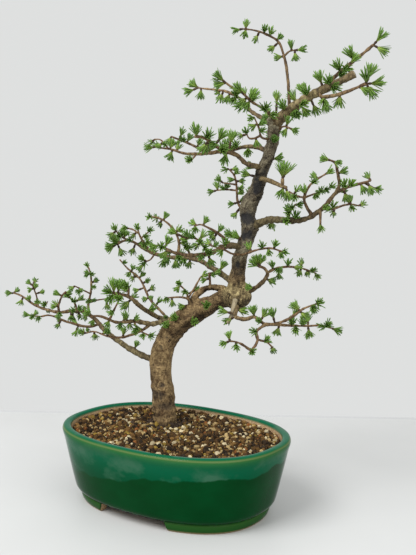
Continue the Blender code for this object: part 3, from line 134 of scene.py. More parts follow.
# Leafy branches: each is a list of twigs (start radius, end radius, needle length, route, tufts). The
# first twig springs from the trunk or the leader, the others from the wood before them. A tuft is
# given by its middle as seen from the front, (across, up), and grows from the nearest wood.
BRANCHES = {
    "branch_low_left": [
        (2.6, 0.75, 7.2,
         [(-18, 30, 125), (-27, 34, 127), (-59, 50, 141), (-71, 56, 149), (-84, 61, 161),
          (-93, 63, 166), (-106, 66, 166), (-118, 70, 164), (-128, 74, 165), (-141, 79, 168),
          (-163, 88, 179), (-168, 90, 180)],
         [(-172, 180), (-160, 171), (-39, 139), (-98, 161), (-105, 160), (-104, 159), (-103, 168),
          (-92, 160)]),
        (1.2, 0.65, 7,
         [(-78, 58, 154), (-86, 57, 152), (-107, 52, 157), (-126, 48, 164), (-132, 46, 163),
          (-139, 44, 164)],
         [(-133, 162), (-139, 164), (-145, 165), (-117, 153), (-99, 147)]),
        (0.9, 0.6, 5.5,
         [(-141, 79, 168), (-142, 76, 179), (-145, 72, 190)],
         [(-149, 193), (-144, 194), (-137, 183), (-147, 186), (-141, 174)]),
        (1.1, 0.65, 8,
         [(-118, 70, 164), (-118, 66, 171), (-116, 63, 177), (-113, 61, 183), (-110, 60, 186)],
         [(-119, 184), (-122, 172)]),
        (1.0, 0.6, 8,
         [(-99, 65, 166), (-103, 69, 174), (-111, 75, 180)],
         [(-109, 182), (-98, 169), (-103, 177), (-97, 178)]),
        (1.2, 0.65, 6,
         [(-87, 62, 164), (-88, 60, 172), (-85, 56, 188), (-86, 54, 207), (-88, 53, 212)],
         [(-88, 213), (-88, 204), (-84, 204), (-82, 192), (-87, 178)]),
        (0.8, 0.55, 6.2,
         [(-86, 57, 185), (-99, 46, 193)],
         [(-102, 191), (-95, 188)]),
        (0.8, 0.55, 7.5,
         [(-86, 59, 175), (-81, 63, 177), (-67, 70, 179)],
         [(-71, 170)]),
        (0.8, 0.55, 7,
         [(-136, 77, 166), (-132, 82, 173)],
         [(-134, 171)]),
    ],
    "branch_low_left_inner": [
        (2.4, 0.8, 8.5,
         [(-7, 26, 162), (-12, 20, 164), (-23, 13, 163), (-39, 8, 166), (-53, 5, 165), (-71, 2, 171),
          (-78, 0, 171)],
         [(-62, 164), (-79, 174), (-46, 171), (-43, 161), (-50, 163)]),
        (0.9, 0.6, 10,
         [(-61, 4, 168), (-51, -8, 187)],
         [(-51, 188)]),
        (1.2, 0.65, 7.5,
         [(-23, 13, 163), (-33, 13, 156), (-40, 13, 153), (-48, 15, 150), (-63, 21, 149),
          (-80, 30, 152), (-86, 33, 150)],
         [(-90, 149), (-78, 147), (-64, 154)]),
        (1.0, 0.6, 8,
         [(-39, 8, 165), (-36, 4, 160), (-25, -2, 155)],
         [(-36, 159), (-23, 155), (-36, 160)]),
    ],
    "branch_tufted_left": [
        (2.3, 1.2, 12,
         [(-6, 27, 164), (-14, 30, 165), (-20, 28, 168), (-32, 17, 177), (-44, 5, 189), (-56, -6, 193)],
         [(-51, 200), (-56, 199), (-57, 191), (-47, 180), (-60, 195)]),
        (1.0, 0.8, 12,
         [(-44, 5, 189), (-43, 1, 197)],
         [(-44, 198), (-47, 195)]),
    ],
    "branch_thin_left": [
        (1.2, 0.6, 6.5,
         [(-2, 26, 165), (-9, 32, 166), (-17, 40, 172), (-26, 46, 180), (-39, 53, 202), (-50, 57, 210),
          (-58, 61, 218)],
         [(-44, 211), (-48, 205), (-35, 205), (-45, 200), (-30, 199), (-41, 189), (-26, 191),
          (-32, 181), (-18, 181), (-25, 170)]),
    ],
    "shoots_over_bend": [
        (1.3, 0.6, 7.5,
         [(12, 22, 177), (10, 17, 186), (5, 13, 188), (-9, 7, 188)],
         [(-9, 187), (-4, 183), (4, 179)]),
        (1.0, 0.6, 7,
         [(10, 17, 186), (9, 20, 191), (1, 25, 199)],
         [(1, 200), (7, 193), (0, 195), (18, 194)]),
        (0.9, 0.6, 7,
         [(10, 17, 186), (21, 30, 205)],
         [(25, 207)]),
    ],
    "shoot_over_loop": [
        (1.1, 0.7, 6.5,
         [(30, 22, 196), (30, 20, 203), (29, 19, 210)],
         [(33, 209), (37, 211), (24, 204)]),
    ],
    "branch_mid_left": [
        (2.4, 1.0, 9.5,
         [(53, 12, 201), (44, 22, 207), (32, 31, 214), (20, 38, 220), (11, 42, 222), (-2, 46, 222),
          (-15, 50, 223), (-24, 53, 225), (-55, 65, 236), (-61, 67, 233)],
         [(-68, 228), (-63, 236), (-57, 225), (-46, 226), (-15, 217), (-3, 217), (10, 216),
          (-62, 234), (-68, 231), (42, 217), (-10, 221), (5, 220)]),
        (1.2, 0.6, 7.5,
         [(-2, 46, 222), (0, 43, 232), (-1, 41, 241), (-20, 34, 260), (-26, 32, 261)],
         [(-27, 261), (-13, 261), (-18, 254), (-1, 249)]),
        (1.2, 0.65, 7.5,
         [(-28, 54, 226), (-38, 45, 244), (-39, 43, 248)],
         [(-39, 250), (-31, 235), (-33, 233)]),
        (0.8, 0.6, 8,
         [(-36, 47, 240), (-28, 40, 247)],
         [(-27, 248), (-31, 242)]),
        (0.8, 0.6, 8,
         [(-38, 45, 244), (-44, 47, 248), (-49, 49, 249)],
         [(-51, 249), (-44, 242)]),
        (1.0, 0.6, 8,
         [(-47, 62, 233), (-56, 58, 240), (-61, 55, 246)],
         [(-66, 242), (-62, 249), (-58, 242), (-52, 243), (-48, 237)]),
        (0.8, 0.6, 8.5,
         [(-24, 53, 225), (-28, 49, 219), (-31, 46, 218)],
         [(-35, 221), (-37, 211), (-33, 216)]),
        (1.0, 0.7, 8.5,
         [(11, 42, 223), (9, 47, 229), (5, 51, 234), (-1, 55, 236)],
         [(6, 233), (9, 232)]),
    ],
    "branch_mid_left_front": [
        (2.5, 0.9, 9,
         [(59, 6, 234), (52, 0, 237), (45, -4, 237), (27, -13, 230), (18, -16, 229), (-3, -23, 232),
          (-15, -29, 238)],
         [(43, 239), (-18, 237), (-7, 242), (30, 223), (3, 227), (-10, 230), (-12, 237), (29, 231)]),
        (1.4, 0.6, 7.5,
         [(48, -2, 237), (39, -8, 246), (28, -15, 253), (20, -18, 256), (16, -20, 255)],
         [(16, 252), (25, 259), (38, 252), (32, 244)]),
        (1.0, 0.6, 8.5,
         [(27, -13, 230), (25, -17, 236), (20, -21, 242), (14, -24, 245), (9, -27, 244)],
         [(-3, 250), (9, 247), (17, 237), (23, 247), (25, 236), (21, 241)]),
    ],
    "branch_mid_right": [
        (2.2, 1.1, 9.5,
         [(63, 8, 194), (74, -2, 202), (79, -6, 208), (81, -8, 213), (78, -10, 218), (73, -12, 220)],
         [(68, 222), (71, 226), (75, 226), (85, 206)]),
        (1.1, 0.6, 7.5,
         [(81, -8, 214), (85, -4, 216), (107, 11, 218), (122, 18, 214), (127, 20, 212)],
         [(124, 215), (128, 210), (114, 221), (112, 212), (100, 222), (92, 210), (85, 221), (90, 216)]),
    ],
    "shoot_front": [
        (1.0, 0.6, 7.5,
         [(57, 4, 228), (60, -6, 230), (83, -30, 237), (91, -37, 235)],
         [(85, 241), (80, 234), (92, 235), (64, 237), (74, 239)]),
        (0.9, 0.6, 7.5,
         [(59, -4, 230), (49, -13, 231), (43, -17, 234), (38, -38, 237), (31, -42, 239)],
         [(39, 233), (28, 241)]),
    ],
    "branch_low_right": [
        (1.8, 0.7, 9.5,
         [(55, 6, 185), (54, -7, 180), (53, -12, 175), (56, -17, 174), (62, -22, 174), (69, -28, 177),
          (78, -36, 172), (85, -40, 173), (102, -52, 183), (107, -56, 188), (118, -63, 194)],
         [(119, 195), (108, 184), (68, 182), (78, 180), (83, 183), (42, 179),
          (47, 170), (59, 179), (115, 191), (103, 189)]),
        (1.2, 0.6, 9,
         [(82, -38, 172), (117, -22, 169), (129, -18, 169), (139, -14, 166)],
         [(142, 165), (134, 170), (117, 163), (101, 173), (117, 175), (89, 165),
          (105, 168), (111, 172)]),
        (1.2, 1.0, 8,
         [(78, -36, 172), (70, -43, 166), (71, -47, 160), (65, -55, 151)],
         [(69, 167), (66, 152)]),
        (1.1, 0.6, 7.5,
         [(66, -54, 153), (52, -63, 161), (47, -66, 162)],
         [(42, 161), (46, 167), (52, 158)]),
        (0.9, 0.6, 8,
         [(71, -47, 160), (81, -40, 156), (84, -38, 153)],
         [(85, 150), (79, 160)]),
    ],
    "branch_right": [
        (3.1, 0.8, 9,
         [(67, 5, 254), (81, -7, 261), (99, -18, 261), (109, -24, 262), (126, -36, 274),
          (134, -42, 285), (160, -58, 296)],
         [(160, 288), (145, 292), (154, 290), (143, 282), (103, 265), (95, 261), (84, 256), (140, 291)]),
        (0.8, 0.55, 8,
         [(155, -55, 294), (165, -49, 290)],
         [(167, 289)]),
        (1.6, 0.7, 8.5,
         [(134, -42, 285), (136, -46, 291), (134, -50, 301), (130, -53, 311), (127, -54, 312)],
         [(123, 313), (138, 303)]),
        (1.2, 0.6, 7.5,
         [(123, -34, 272), (132, -29, 272), (151, -20, 276), (158, -18, 275)],
         [(162, 276), (151, 273), (149, 281), (136, 268), (134, 274)]),
        (1.2, 0.8, 8,
         [(123, -33, 271), (122, -42, 259)],
         [(122, 256)]),
        (1.3, 0.65, 8,
         [(116, -28, 267), (108, -38, 281), (113, -46, 293), (124, -52, 301)],
         [(126, 302), (114, 294)]),
        (0.9, 0.6, 8,
         [(108, -38, 281), (103, -35, 282), (96, -31, 286)],
         [(100, 281), (102, 288)]),
        (0.9, 0.6, 7.5,
         [(108, -38, 281), (114, -33, 283), (132, -22, 290)],
         [(118, 283), (123, 287), (128, 288), (133, 291)]),
        (1.1, 0.7, 8,
         [(96, -16, 261), (99, -26, 271), (102, -29, 275)],
         [(99, 272), (104, 275), (96, 268)]),
    ],
    "branch_right_short": [
        (1.9, 1.5, 11,
         [(71, 3, 294), (74, -4, 297), (78, -9, 296), (94, -24, 289)],
         [(90, 285), (96, 282)]),
        (1.5, 1.3, 14,
         [(91, -22, 291), (91, -22, 297)],
         [(90, 303), (95, 305)]),
    ],
    "shoot_left_upright": [
        (1.1, 0.6, 7,
         [(60, 7, 269), (56, 12, 272), (49, 20, 302), (45, 22, 306)],
         [(42, 305), (52, 303), (48, 296), (56, 288), (48, 274), (51, 264), (58, 277), (57, 295)]),
        (0.8, 0.55, 7,
         [(52, 18, 292), (40, 11, 293)],
         [(36, 296)]),
        (0.8, 0.55, 7.5,
         [(53, 16, 286), (41, 23, 287), (34, 27, 286)],
         [(35, 290), (29, 285), (44, 290)]),
    ],
    "branch_upper_left": [
        (2.0, 0.7, 10,
         [(79, -1, 320), (74, 7, 324), (66, 14, 326), (39, 31, 322), (15, 44, 320), (2, 50, 321),
          (-7, 55, 324), (-25, 65, 327)],
         [(-31, 326), (-9, 329), (-10, 318), (-3, 327), (39, 326), (62, 323), (51, 327), (43, 328)]),
        (1.2, 0.8, 8.5,
         [(25, 39, 321), (18, 37, 325), (-8, 31, 335)],
         [(2, 339), (-10, 331), (24, 326), (3, 332), (18, 330), (8, 333)]),
        (0.8, 0.55, 7,
         [(-11, 58, 325), (-21, 58, 334), (-25, 60, 334)],
         [(-29, 332), (-21, 328), (-15, 329)]),
        (0.9, 0.6, 9,
         [(15, 44, 320), (11, 37, 314)],
         [(10, 314)]),
    ],
    "branch_upper_left_front": [
        (2.1, 1.0, 11,
         [(73, 0, 307), (68, -6, 308), (59, -13, 310), (52, -19, 316), (38, -29, 320), (20, -41, 330),
          (15, -44, 330)],
         [(38, 332), (46, 332), (41, 314), (24, 322),
          (26, 331), (38, 320), (22, 321), (16, 333)]),
        (0.9, 0.7, 11,
         [(38, -29, 320), (30, -40, 318)],
         []),
    ],
    "shoot_below_fork": [
        (1.1, 0.6, 7.5,
         [(82, -4, 331), (71, -18, 334), (70, -22, 338), (65, -28, 348)],
         [(62, 347), (64, 341), (71, 343), (72, 337)]),
        (0.9, 0.6, 7.5,
         [(71, -18, 334), (65, -21, 331), (61, -24, 331), (59, -26, 334)],
         [(58, 336), (68, 327), (54, 333)]),
    ],
    "branch_top_left": [
        (1.9, 0.65, 10,
         [(84, -5, 344), (78, 1, 348), (62, 13, 359), (55, 20, 368), (47, 26, 374), (16, 43, 381)],
         [(7, 377), (11, 384), (18, 374), (37, 371), (53, 361), (49, 369), (79, 355),
          (43, 370), (50, 373)]),
        (0.9, 0.8, 11,
         [(51, 22, 371), (49, 18, 376), (41, 13, 382)],
         [(36, 381), (34, 387)]),
    ],
    "branch_top_left_front": [
        (1.4, 0.9, 10.5,
         [(85, -7, 347), (74, -20, 356), (63, -27, 361), (55, -33, 367)],
         [(50, 371), (63, 367), (59, 359), (55, 361), (74, 356), (63, 363)]),
    ],
    "apex_whip": [
        (1.35, 0.65, 8,
         [(97, -10, 356), (90, -2, 407), (87, 0, 415), (75, 6, 424), (61, 13, 429), (55, 16, 430)],
         [(49, 428), (58, 433), (57, 425), (67, 421), (74, 427), (79, 424), (81, 412), (86, 403)]),
        (0.9, 0.65, 8.5,
         [(91, -2, 403), (96, -11, 407), (99, -14, 407)],
         [(105, 407), (100, 401), (96, 411)]),
    ],
    "apex_right_upper": [
        (1.8, 1.1, 12.5,
         [(122, -22, 371), (125, -18, 376), (131, -14, 382), (169, 0, 415)],
         [(175, 422), (178, 411), (149, 404), (137, 393), (140, 387), (144, 393)]),
    ],
    "apex_right_lower": [
        (1.5, 1.1, 12,
         [(120, -22, 370), (122, -29, 366), (125, -33, 366), (133, -37, 367), (155, -49, 375)],
         [(158, 385), (165, 376), (160, 368), (136, 362), (154, 380), (123, 363)]),
    ],
    "shoot_right_of_fork": [
        (1.0, 0.7, 8.5,
         [(85, -6, 339), (93, -16, 342), (97, -19, 340)],
         [(100, 338), (92, 337), (95, 347)]),
    ],
    "leader": [
        (3.8, 2.4, 11,
         [(85, -6, 343), (88, -7, 348), (100, -12, 359), (148, -34, 385)],
         [(119, 383), (107, 373), (130, 375), (99, 368), (101, 354), (110, 355), (119, 357), (127, 359),
          (110, 369), (92, 357), (128, 377), (98, 353), (106, 361)]),
    ],
}
TRUNK_TUFTS = [
    (-8, 158), (-1, 165), (14, 165), (27, 179), (84, 314), (83, 328), (76, 349), (86, 369), (93, 357),
    (46, 247), (54, 245), (64, 308), (60.5, 301),
]
TUFTS_BEHIND_TRUNK = [(-12, 148), (24, 176), (60, 236), (66, 282), (82, 332)]
TRUNK_NEEDLE = 9.0
TRUNK_NEEDLE_SEED = 1
LIMB_NEEDLE_SEED = 10

# Dark scars and patches in the bark, each also a shallow dent: (middle, (size across, size up),
# depth of colour). The two wide patches low on the trunk, at 94 and 84 mm up, are painted shade.
SCARS = [
    ((62, 0, 247), (5.5, 4.2), 1.0), ((62, 0, 262), (7.0, 4.8), 1.0), ((70, -3, 290), (4.5, 7.5), 0.95),
    ((53.4, 1, 219.5), (2.7, 3.0), 0.9), ((57, 1, 212), (3.6, 2.0), 0.5), ((-13, 19, 104), (2.6, 2.2), 0.8),
    # The first two marks of this row are painted shade low on the trunk.
    ((-20, 21, 94), (9.0, 4.0), 0.6), ((-6, 19, 84), (9.0, 3.5), 0.5), ((-9, 19, 150), (1.6, 1.3), 0.7),
    ((-14, 19, 140), (1.5, 2.2), 0.6), ((8, 12, 176), (2.0, 1.4), 0.6), ((75, -3, 303), (3.0, 3.5), 0.6),
    ((46, -2, 186), (1.6, 1.6), 0.5), ((60, -2, 184), (1.8, 1.2), 0.5),
]
# Cords of bark that stand proud along a route of (across, depth, up), and the middle of a knot.
BARK_CORDS = [
    [(-13, 21, 158), (-9, 18.5, 163), (-2, 15.5, 171), (5, 14, 176), (13, 15, 183)],
    [(-19, 22, 147), (-12, 19, 139), (-6, 20.5, 131)],
    [(3, 14.5, 163), (12, 11.5, 169), (22, 9.5, 175), (32, 8.5, 179)],
]
CORD_WIDTH = 2.2
KNOT = (-13.5, 19.5, 103)
KNOT_SIZE = 6.0
BARK_SHADE = 0.61
# Each feature of the bark: how far it pushes the skin out, how much further on the upper trunk, and
# how much paler it makes it. Where a feature pushes, its paler share goes the same way, so proud bark
# carries painted light and the furrows, the seam and the knot's rings carry painted shade.
BARK_FEATURES = {
    "streaks": (0.26, 0.26, 0.16), "plates": (0.28, 0.28, 0.15), "furrow": (0.35, 0.0, 0.32),
    "lumps": (0.85, 0.0, 0.06), "wrinkles": (0.35, 0.0, 0.14), "seam": (-0.7, 0.0, -0.35),
    "swirl": (0.2, 0.0, 0.07), "cords": (0.9, 0.0, 0.12), "rings": (-0.3, 0.0, -0.12),
    "under": (0.0, 0.0, -0.24), "pale_and_lit_bands": (0.0, 0.0, 1.0),
}
BARK_SIZE = 2.6
BARK_STRETCH = 0.45
BARK_WARP = 2.5
FURROW_WIDTH = 0.12
# Wrinkles, the burl's swirl and the knot's rings turn by so many radians in a millimetre.
WRINKLE_TURN = 2.1
SWIRL_TURN = 1.7
KNOT_TURN = 2.4
SEAM_WIDTH = 1.5
LOW_RINGS_END = 100.0
LOW_RINGS_FADE = 25.0
SCAR_CORE = 1.35
SCAR_RAGGED = 0.45
SCAR_STREAKED = 0.25
SCAR_SLOPE = 1.6
SCAR_DENT = 0.6
SCAR_DARKEST = 0.93
SCAR_COLOUR = (0.014, 0.014, 0.016)

# Wood
BARK_VOXEL = 0.64
BARK_SMOOTHING = 3
ROUTE_SAMPLES = 160
TRUNK_SIDES = 28
TRUNK_STEP = 3.0
STUB_SIDES = 14
STUB_RINGS = 12
BURL_RINGS = 16
BURL_SIDES = 24
TWIG_SIDES = 8
THICK_TWIG_SIDES = 14
MANY_SIDES_FROM = 2.5
TWIG_STEP = 1.5
THICK_TWIG = 1.9
YOUNG_RADIUS = 0.7
AGEING = 1.5
# A twig's radius is scaled by the swell, by more on thick wood, and by (how much, size, seed) noises.
TWIG_SWELL = 1.17
THICK_SWELL = 0.14
THICK_FROM = 1.8
THICK_FADE = 1.2
TWIG_NOISES = ((0.12, 5.0, 3), (0.2, 2.2, 4))
TWIG_LUMPS = 0.2
LUMP_SIZE = 2.5
SAWN_RADIUS = 2.2
SAWN_SHARE = 0.9
SAWN_ENDS = (-0.5, 0.3)
SAWN_SIDES = 16
STUB_LUMPS = 0.1
# How far a limb's end stands out, as a share of its radius.
ROUND_END = 0.5
FLAT_END = 0.05
# How much paler or darker than the rest the bark of some limbs is.
LIMB_LIGHT = {"leader": 1.42, "branch_right": 0.82, "apex_whip": 0.76}
# Bands where the bark is paler: (height, half-width, how much). The band about 128 mm up, on the
# bend, is painted light falling from the upper left; the others make the bark paler about their heights.
PALE_AND_LIT_BANDS = [(128, 27, 0.24), (205, 9, 0.12), (233, 11, 0.18), (366, 22, 0.22)]
ROUGH_BARK_HEIGHT = 205.0
ROUGH_BARK_FADE = 30.0
GREY_BARK_HEIGHTS = (200.0, 235.0)
GREY_TINT = (0.83, 1.05, 1.46)
# The burl: its lobes' middles, how far they reach, and the distances from its own middle between
# which the bark turns pale.
BURL_LOBES = [(49, 0, 195), (65, 1, 189)]
BURL_REACH = 11.0
BURL_PALE = (18.0, 12.0)
BURL_TINT = (1.58, 1.84, 1.90)

# Tufts
SPUR_RADIUS = 1.0
SPUR_STEPS = np.array([0.0, 0.4, 0.75, 1.0])
SPUR_WIDTHS = np.array([0.9, 0.95, 1.25, 0.9])
SPUR_AGE = 0.3
SPUR_DARK = (0.4, 0.7, 0.95, 0.8)
SPUR_SIDES = 6
SPUR_COLOUR = (0.035, 0.020, 0.012)
SPUR_PAST_WOOD = 0.8
OVER_WOOD = 2.5
LEAN_OVER_WOOD = 3.0
BARK_SPUR = 2.0
BARK_TUFT_RISE = (0.0, 0.0, 0.5)
# The small tufts that fill a branch out to its front and back: ranges of their places in each step
# along the twig, of their spurs past the wood and of their needles' share, and how far they face away.
FILL_PLACES = (0.4, 1.0)
FILL_SPURS = (0.6, 2.0)
FILL_NEEDLES = (0.7, 0.95)
FILL_FACING = 0.7
# Mean and spread of how far they turn sideways and up.
FILL_SIDEWAYS = (0.0, 0.8)
FILL_UP = (0.3, 0.6)
# Distance along the twigs between those tufts.
FILL_PITCH_ELSEWHERE = 18.0
FILL_PITCH = {
    "branch_mid_left": 18, "branch_mid_left_front": 20, "branch_low_left": 13,
    "branch_low_left_inner": 17, "branch_tufted_left": 18, "branch_right": 19,
    "branch_upper_left": 40, "branch_upper_left_front": 60, "branch_top_left": 45,
    "branch_right_short": 40, "shoot_below_fork": 40, "shoots_over_bend": 60,
    "shoot_over_loop": 40, "branch_low_right": 45, "apex_whip": 60, "apex_right_upper": 60,
    "apex_right_lower": 40, "shoot_front": 40, "shoot_right_of_fork": 60,
}
NEEDLES_FULL = 27
NEEDLES_SMALL = 19
FULL_TUFT_NEEDLE = 9.0
NEEDLE_WIDTH = 0.64
NEEDLE_FLATNESS = 0.6
NEEDLE_STATIONS = (0.0, 0.4, 0.9)
NEEDLE_WIDTHS = (0.5, 1.0, 0.9)
LEANS = (3.0, -4.0, 1.0, -2.0, 5.0, -6.0, 0.5, 7.0)
MIDDLE_OF_NEEDLES = 0.45
TUFT_SPREAD = math.radians(33)
NEEDLE_START = 0.6
NEEDLE_LIFT = (0.0, 0.0, 0.04)
# Ranges that a needle's spread, bend and length are drawn from, and how much shorter the outer are.
NEEDLE_SPREADS = (0.75, 1.15)
NEEDLE_BENDS = (-0.05, 0.1)
NEEDLE_LENGTHS = (0.83, 1.04)
OUTER_SHORTER = 0.08
# Spreads of the draws that shake a needle's turn, its bend and its twist.
TURN_SHAKE = 0.15
BEND_SHAKE = 0.05
TWIST_SHAKE = 0.3
GOLDEN_ANGLE = 2.39996
TUFT_TURN = 1.7
SPUR_TOP = 0.6
SPUR_OVERLAP = 0.3

# Soil granules. A size is a stone's radius, and its logarithm has the mean and the spread given.
GRANULE_SEED = 8
GRANULE_PITCH = 3.0
GRANULE_ROW_PITCH = GRANULE_PITCH * 0.866
GRANULE_SHAKE = 1.1
GRANULE_MEAN = 0.55
GRANULE_SPREAD = 0.36
GRANULE_SIZES = (0.9, 3.3)
GRANULE_DEPTH = 0.9
GRANULE_LIFTS = (-0.5, 0.9)
GRANULE_LIFT_SHARE = 0.12
HEAP_START = 0.8
# The gap to the wall, and the share of a stone's radius that is kept inside it.
WALL_GAP = 0.2
WALL_SHARE = 0.8
GRANULE_GRAIN = 1500.0
# Ranges that a stone's dents, its squeeze and its lightness are drawn from.
STONE_DENTS = (0.78, 1.15)
STONE_SQUEEZE = (0.65, 1.1)
STONE_LIGHT = (0.7, 1.25)
GRANULE_COLOURS = np.array([
    (0.37, 0.27, 0.12), (0.56, 0.48, 0.30), (0.17, 0.095, 0.027), (0.062, 0.032, 0.010),
    (0.022, 0.013, 0.006), (0.19, 0.072, 0.018), (0.10, 0.052, 0.015), (0.24, 0.16, 0.03),
])
GRANULE_SHARES = np.array([0.12, 0.07, 0.12, 0.27, 0.21, 0.03, 0.14, 0.04])
# Moss lies round a spot in front of the trunk, and dark stones close round the trunk are a painted
# shadow of the trunk's foot.
MOSS_COLOUR = np.array([0.16, 0.105, 0.025])
MOSS_LIGHT = (0.5, 1.5)
MOSS_OFFSET = 16.0
MOSS_REACH = 17.0
MOSS_CHANCE = 0.8
FOOT_SHADOW_COLOUR = np.array([0.045, 0.03, 0.02])
FOOT_SHADOW_LIGHT = (0.5, 1.6)
FOOT_SHADOW_REACH = 16.0
FOOT_SHADOW_CHANCE = 1.5

# Surroundings. Places are tree points.
CAMERA_PLACE = (28.07, -746.7, 280.7)
CAMERA_PITCH = 0.097
CAMERA_ROLL = 0.018
CAMERA_LENS = 54.1
CAMERA_SENSOR = 36.0
CAMERA_NEAR = 10.0
CAMERA_FAR = 20000.0
TABLE_REACH = 3000.0
TABLE_BACK = 303.0
TABLE_EDGE = 11.0
TABLE_EDGE_HEIGHT = -0.5
TABLE_COLOUR = (0.55, 0.555, 0.55)
# The strip behind the table's back edge is darker: a painted shade line where the table ends.
TABLE_EDGE_SHADE_COLOUR = (0.52, 0.525, 0.53)
WALL_COLOUR = (0.735, 0.745, 0.74)
# A plain finish dims by this share in places.
DIM_SHARE = 0.96
LIGHT_TARGET = (20.0, 0.0, 150.0)
# (name, place, size across and up in millimetres, power in watts)
LIGHTS = [
    ("key_light", (-1300, -1200, 2000), (1400, 1400), 66.0),
    ("fill_light", (1000, -1800, 1200), (1800, 1800), 24.0),
]

low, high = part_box("pot")
POT_CENTRE = (np.array(low) + np.array(high)) / 2 / MM
POT_HALF = (np.array(high) - np.array(low)) / 2 / MM
NO_TRIANGLES = np.zeros((0, 3), dtype=np.int64)
NO_QUADS = np.zeros((0, 4), dtype=np.int64)


# Shapes


def tree_to_world(points):
    """World places in millimetres of tree points: a turn about the pot's upright axis, then a shift."""
    across, depth, up = np.moveaxis(np.asarray(points, float), -1, 0)
    x = POT_CENTRE[0] + across * math.cos(TREE_TURN) - depth * math.sin(TREE_TURN)
    y = POT_CENTRE[1] + across * math.sin(TREE_TURN) + depth * math.cos(TREE_TURN)
    return np.stack([x, y, up], axis=-1)


def pot_to_world(x, y, z):
    """World places in millimetres of x and y measured from the pot's middle, at the height z."""
    x, y, z = np.broadcast_arrays(x, y, z)
    return np.stack([x + POT_CENTRE[0], y + POT_CENTRE[1], z], axis=-1)


def route_length(points):
    """Length of the chords through the points."""
    return float(np.linalg.norm(np.diff(np.array(points, float)[:, :3], axis=0), axis=1).sum())


def along(points, distances):
    """Points at some distances along a smooth curve through the given ones.

    The curve is a cubic between each pair of points. Its tangent at a point is the mean of the slopes
    on the point's two sides, weighted towards the shorter. Columns after the third are carried along.
    """
    points = np.array(points, float)
    chords = np.linalg.norm(np.diff(points[:, :3], axis=0), axis=1)
    marks = np.concatenate([[0.0], np.cumsum(chords)])
    slopes = np.diff(points, axis=0) / chords[:, None]
    before = chords[:-1, None]
    after = chords[1:, None]
    tangents = np.vstack([slopes[:1], (before * slopes[1:] + after * slopes[:-1]) / (before + after),
                          slopes[-1:]])
    piece = np.clip(np.searchsorted(marks, distances, side="right") - 1, 0, len(chords) - 1)
    span = chords[piece][:, None]
    t = (distances - marks[piece])[:, None] / span
    return ((1 + 2 * t) * (1 - t) ** 2 * points[piece] + t * (1 - t) ** 2 * span * tangents[piece]
            + t ** 2 * (3 - 2 * t) * points[piece + 1] + t ** 2 * (t - 1) * span * tangents[piece + 1])


def evenly(route, count):
    """So many evenly spaced points along the smooth curve through the route, and their distances."""
    at = np.linspace(0, route_length(route), count)
    return along(route, at), at


def unit(vectors):
    """The vectors at length one."""
    return vectors / np.maximum(np.linalg.norm(vectors, axis=-1, keepdims=True), 1e-9)


def hashed(cells, seed):
    """A number from 0 to 1 for each whole-number cell: the fraction of a large sine of its place."""
    value = np.sin(cells @ np.array([127.1, 311.7, 74.7]) + seed * 19.19) * 43758.5453
    return value - np.floor(value)


def soft_noise(points, size, seed=0):
    """Smooth noise from -1 to 1, with blobs of the size.

    Each corner of a cubic lattice has a random value. Between the corners the value is blended by
    3t^2 - 2t^3 in each direction.
    """
    cell = np.floor(points / size)
    t = smooth_step(points / size - cell)
    value = 0.0
    for corner in np.ndindex(2, 2, 2):
        weight = np.prod(np.where(corner, t, 1 - t), axis=-1)
        value = value + weight * hashed(cell + corner, seed)
    return value * 2 - 1


def smooth_step(values):
    """3t^2 - 2t^3 of the values held between 0 and 1."""
    t = np.clip(values, 0, 1)
    return t * t * (3 - 2 * t)


def bell(values, width, power=2):
    """A bell curve: 1 at zero and nearly 0 past twice the width. A power of 4 makes its top flat."""
    return np.exp(-(values / width) ** power)


def joined(shapes):
    """Several (points, quads, triangles, values) shapes as one. Values are one row for each point."""
    offset = 0
    points, quads, triangles, values = [], [], [], []
    for shape in shapes:
        points.append(shape[0])
        quads.append(shape[1] + offset)
        triangles.append(shape[2] + offset)
        values.append(shape[3])
        offset += len(shape[0])
    return tuple(np.concatenate(part) for part in (points, quads, triangles, values))


def add_object(name, data):
    """A new object in the scene."""
    made = bpy.data.objects.new(name, data)
    bpy.context.scene.collection.objects.link(made)
    return made


def new_piece(name, shape, material, smooth=True):
    """An object of the shape, with its values as attributes of its points.

    Three columns of values are the colour grain. Two are the numbers shade and tone.
    """
    points, quads, triangles, values = shape
    mesh = bpy.data.meshes.new(name)
    mesh.vertices.add(len(points))
    mesh.vertices.foreach_set("co", (points * MM).astype(np.float32).ravel())
    corners = np.concatenate([quads.ravel(), triangles.ravel()]).astype(np.int32)
    starts = np.concatenate([np.arange(len(quads)) * 4, len(quads) * 4 + np.arange(len(triangles)) * 3])
    mesh.loops.add(len(corners))
    mesh.loops.foreach_set("vertex_index", corners)
    mesh.polygons.add(len(starts))
    mesh.polygons.foreach_set("loop_start", starts.astype(np.int32))
    mesh.polygons.foreach_set("use_smooth", np.full(len(starts), smooth))
    mesh.update(calc_edges=True)
    if values.shape[1] == 3:
        colour = mesh.attributes.new("grain", "FLOAT_COLOR", "POINT")
        rgba = np.column_stack([values, np.ones(len(values))])
        colour.data.foreach_set("color", rgba.astype(np.float32).ravel())
    else:
        for column, label in enumerate(("shade", "tone")):
            attribute = mesh.attributes.new(label, "FLOAT", "POINT")
            attribute.data.foreach_set("value", values[:, column].astype(np.float32))
    mesh.materials.append(material)
    return add_object(name, mesh)


def finish_piece(piece, node):
    """Fix a piece to the part, in place of the node."""
    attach(piece, "root")
    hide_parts(node)


def add_piece(name, shape, material, node, smooth=True):
    """A new piece, fixed to the part in place of the node."""
    finish_piece(new_piece(name, shape, material, smooth), node)


def grid_faces(rows, columns):
    """Quads of a grid that closes round in its columns."""
    row = np.arange(rows - 1)[:, None] * columns
    column = np.arange(columns)[None]
    after = (column + 1) % columns
    return np.stack([row + column, row + after, row + columns + after, row + columns + column],
                    axis=-1).reshape(-1, 4)


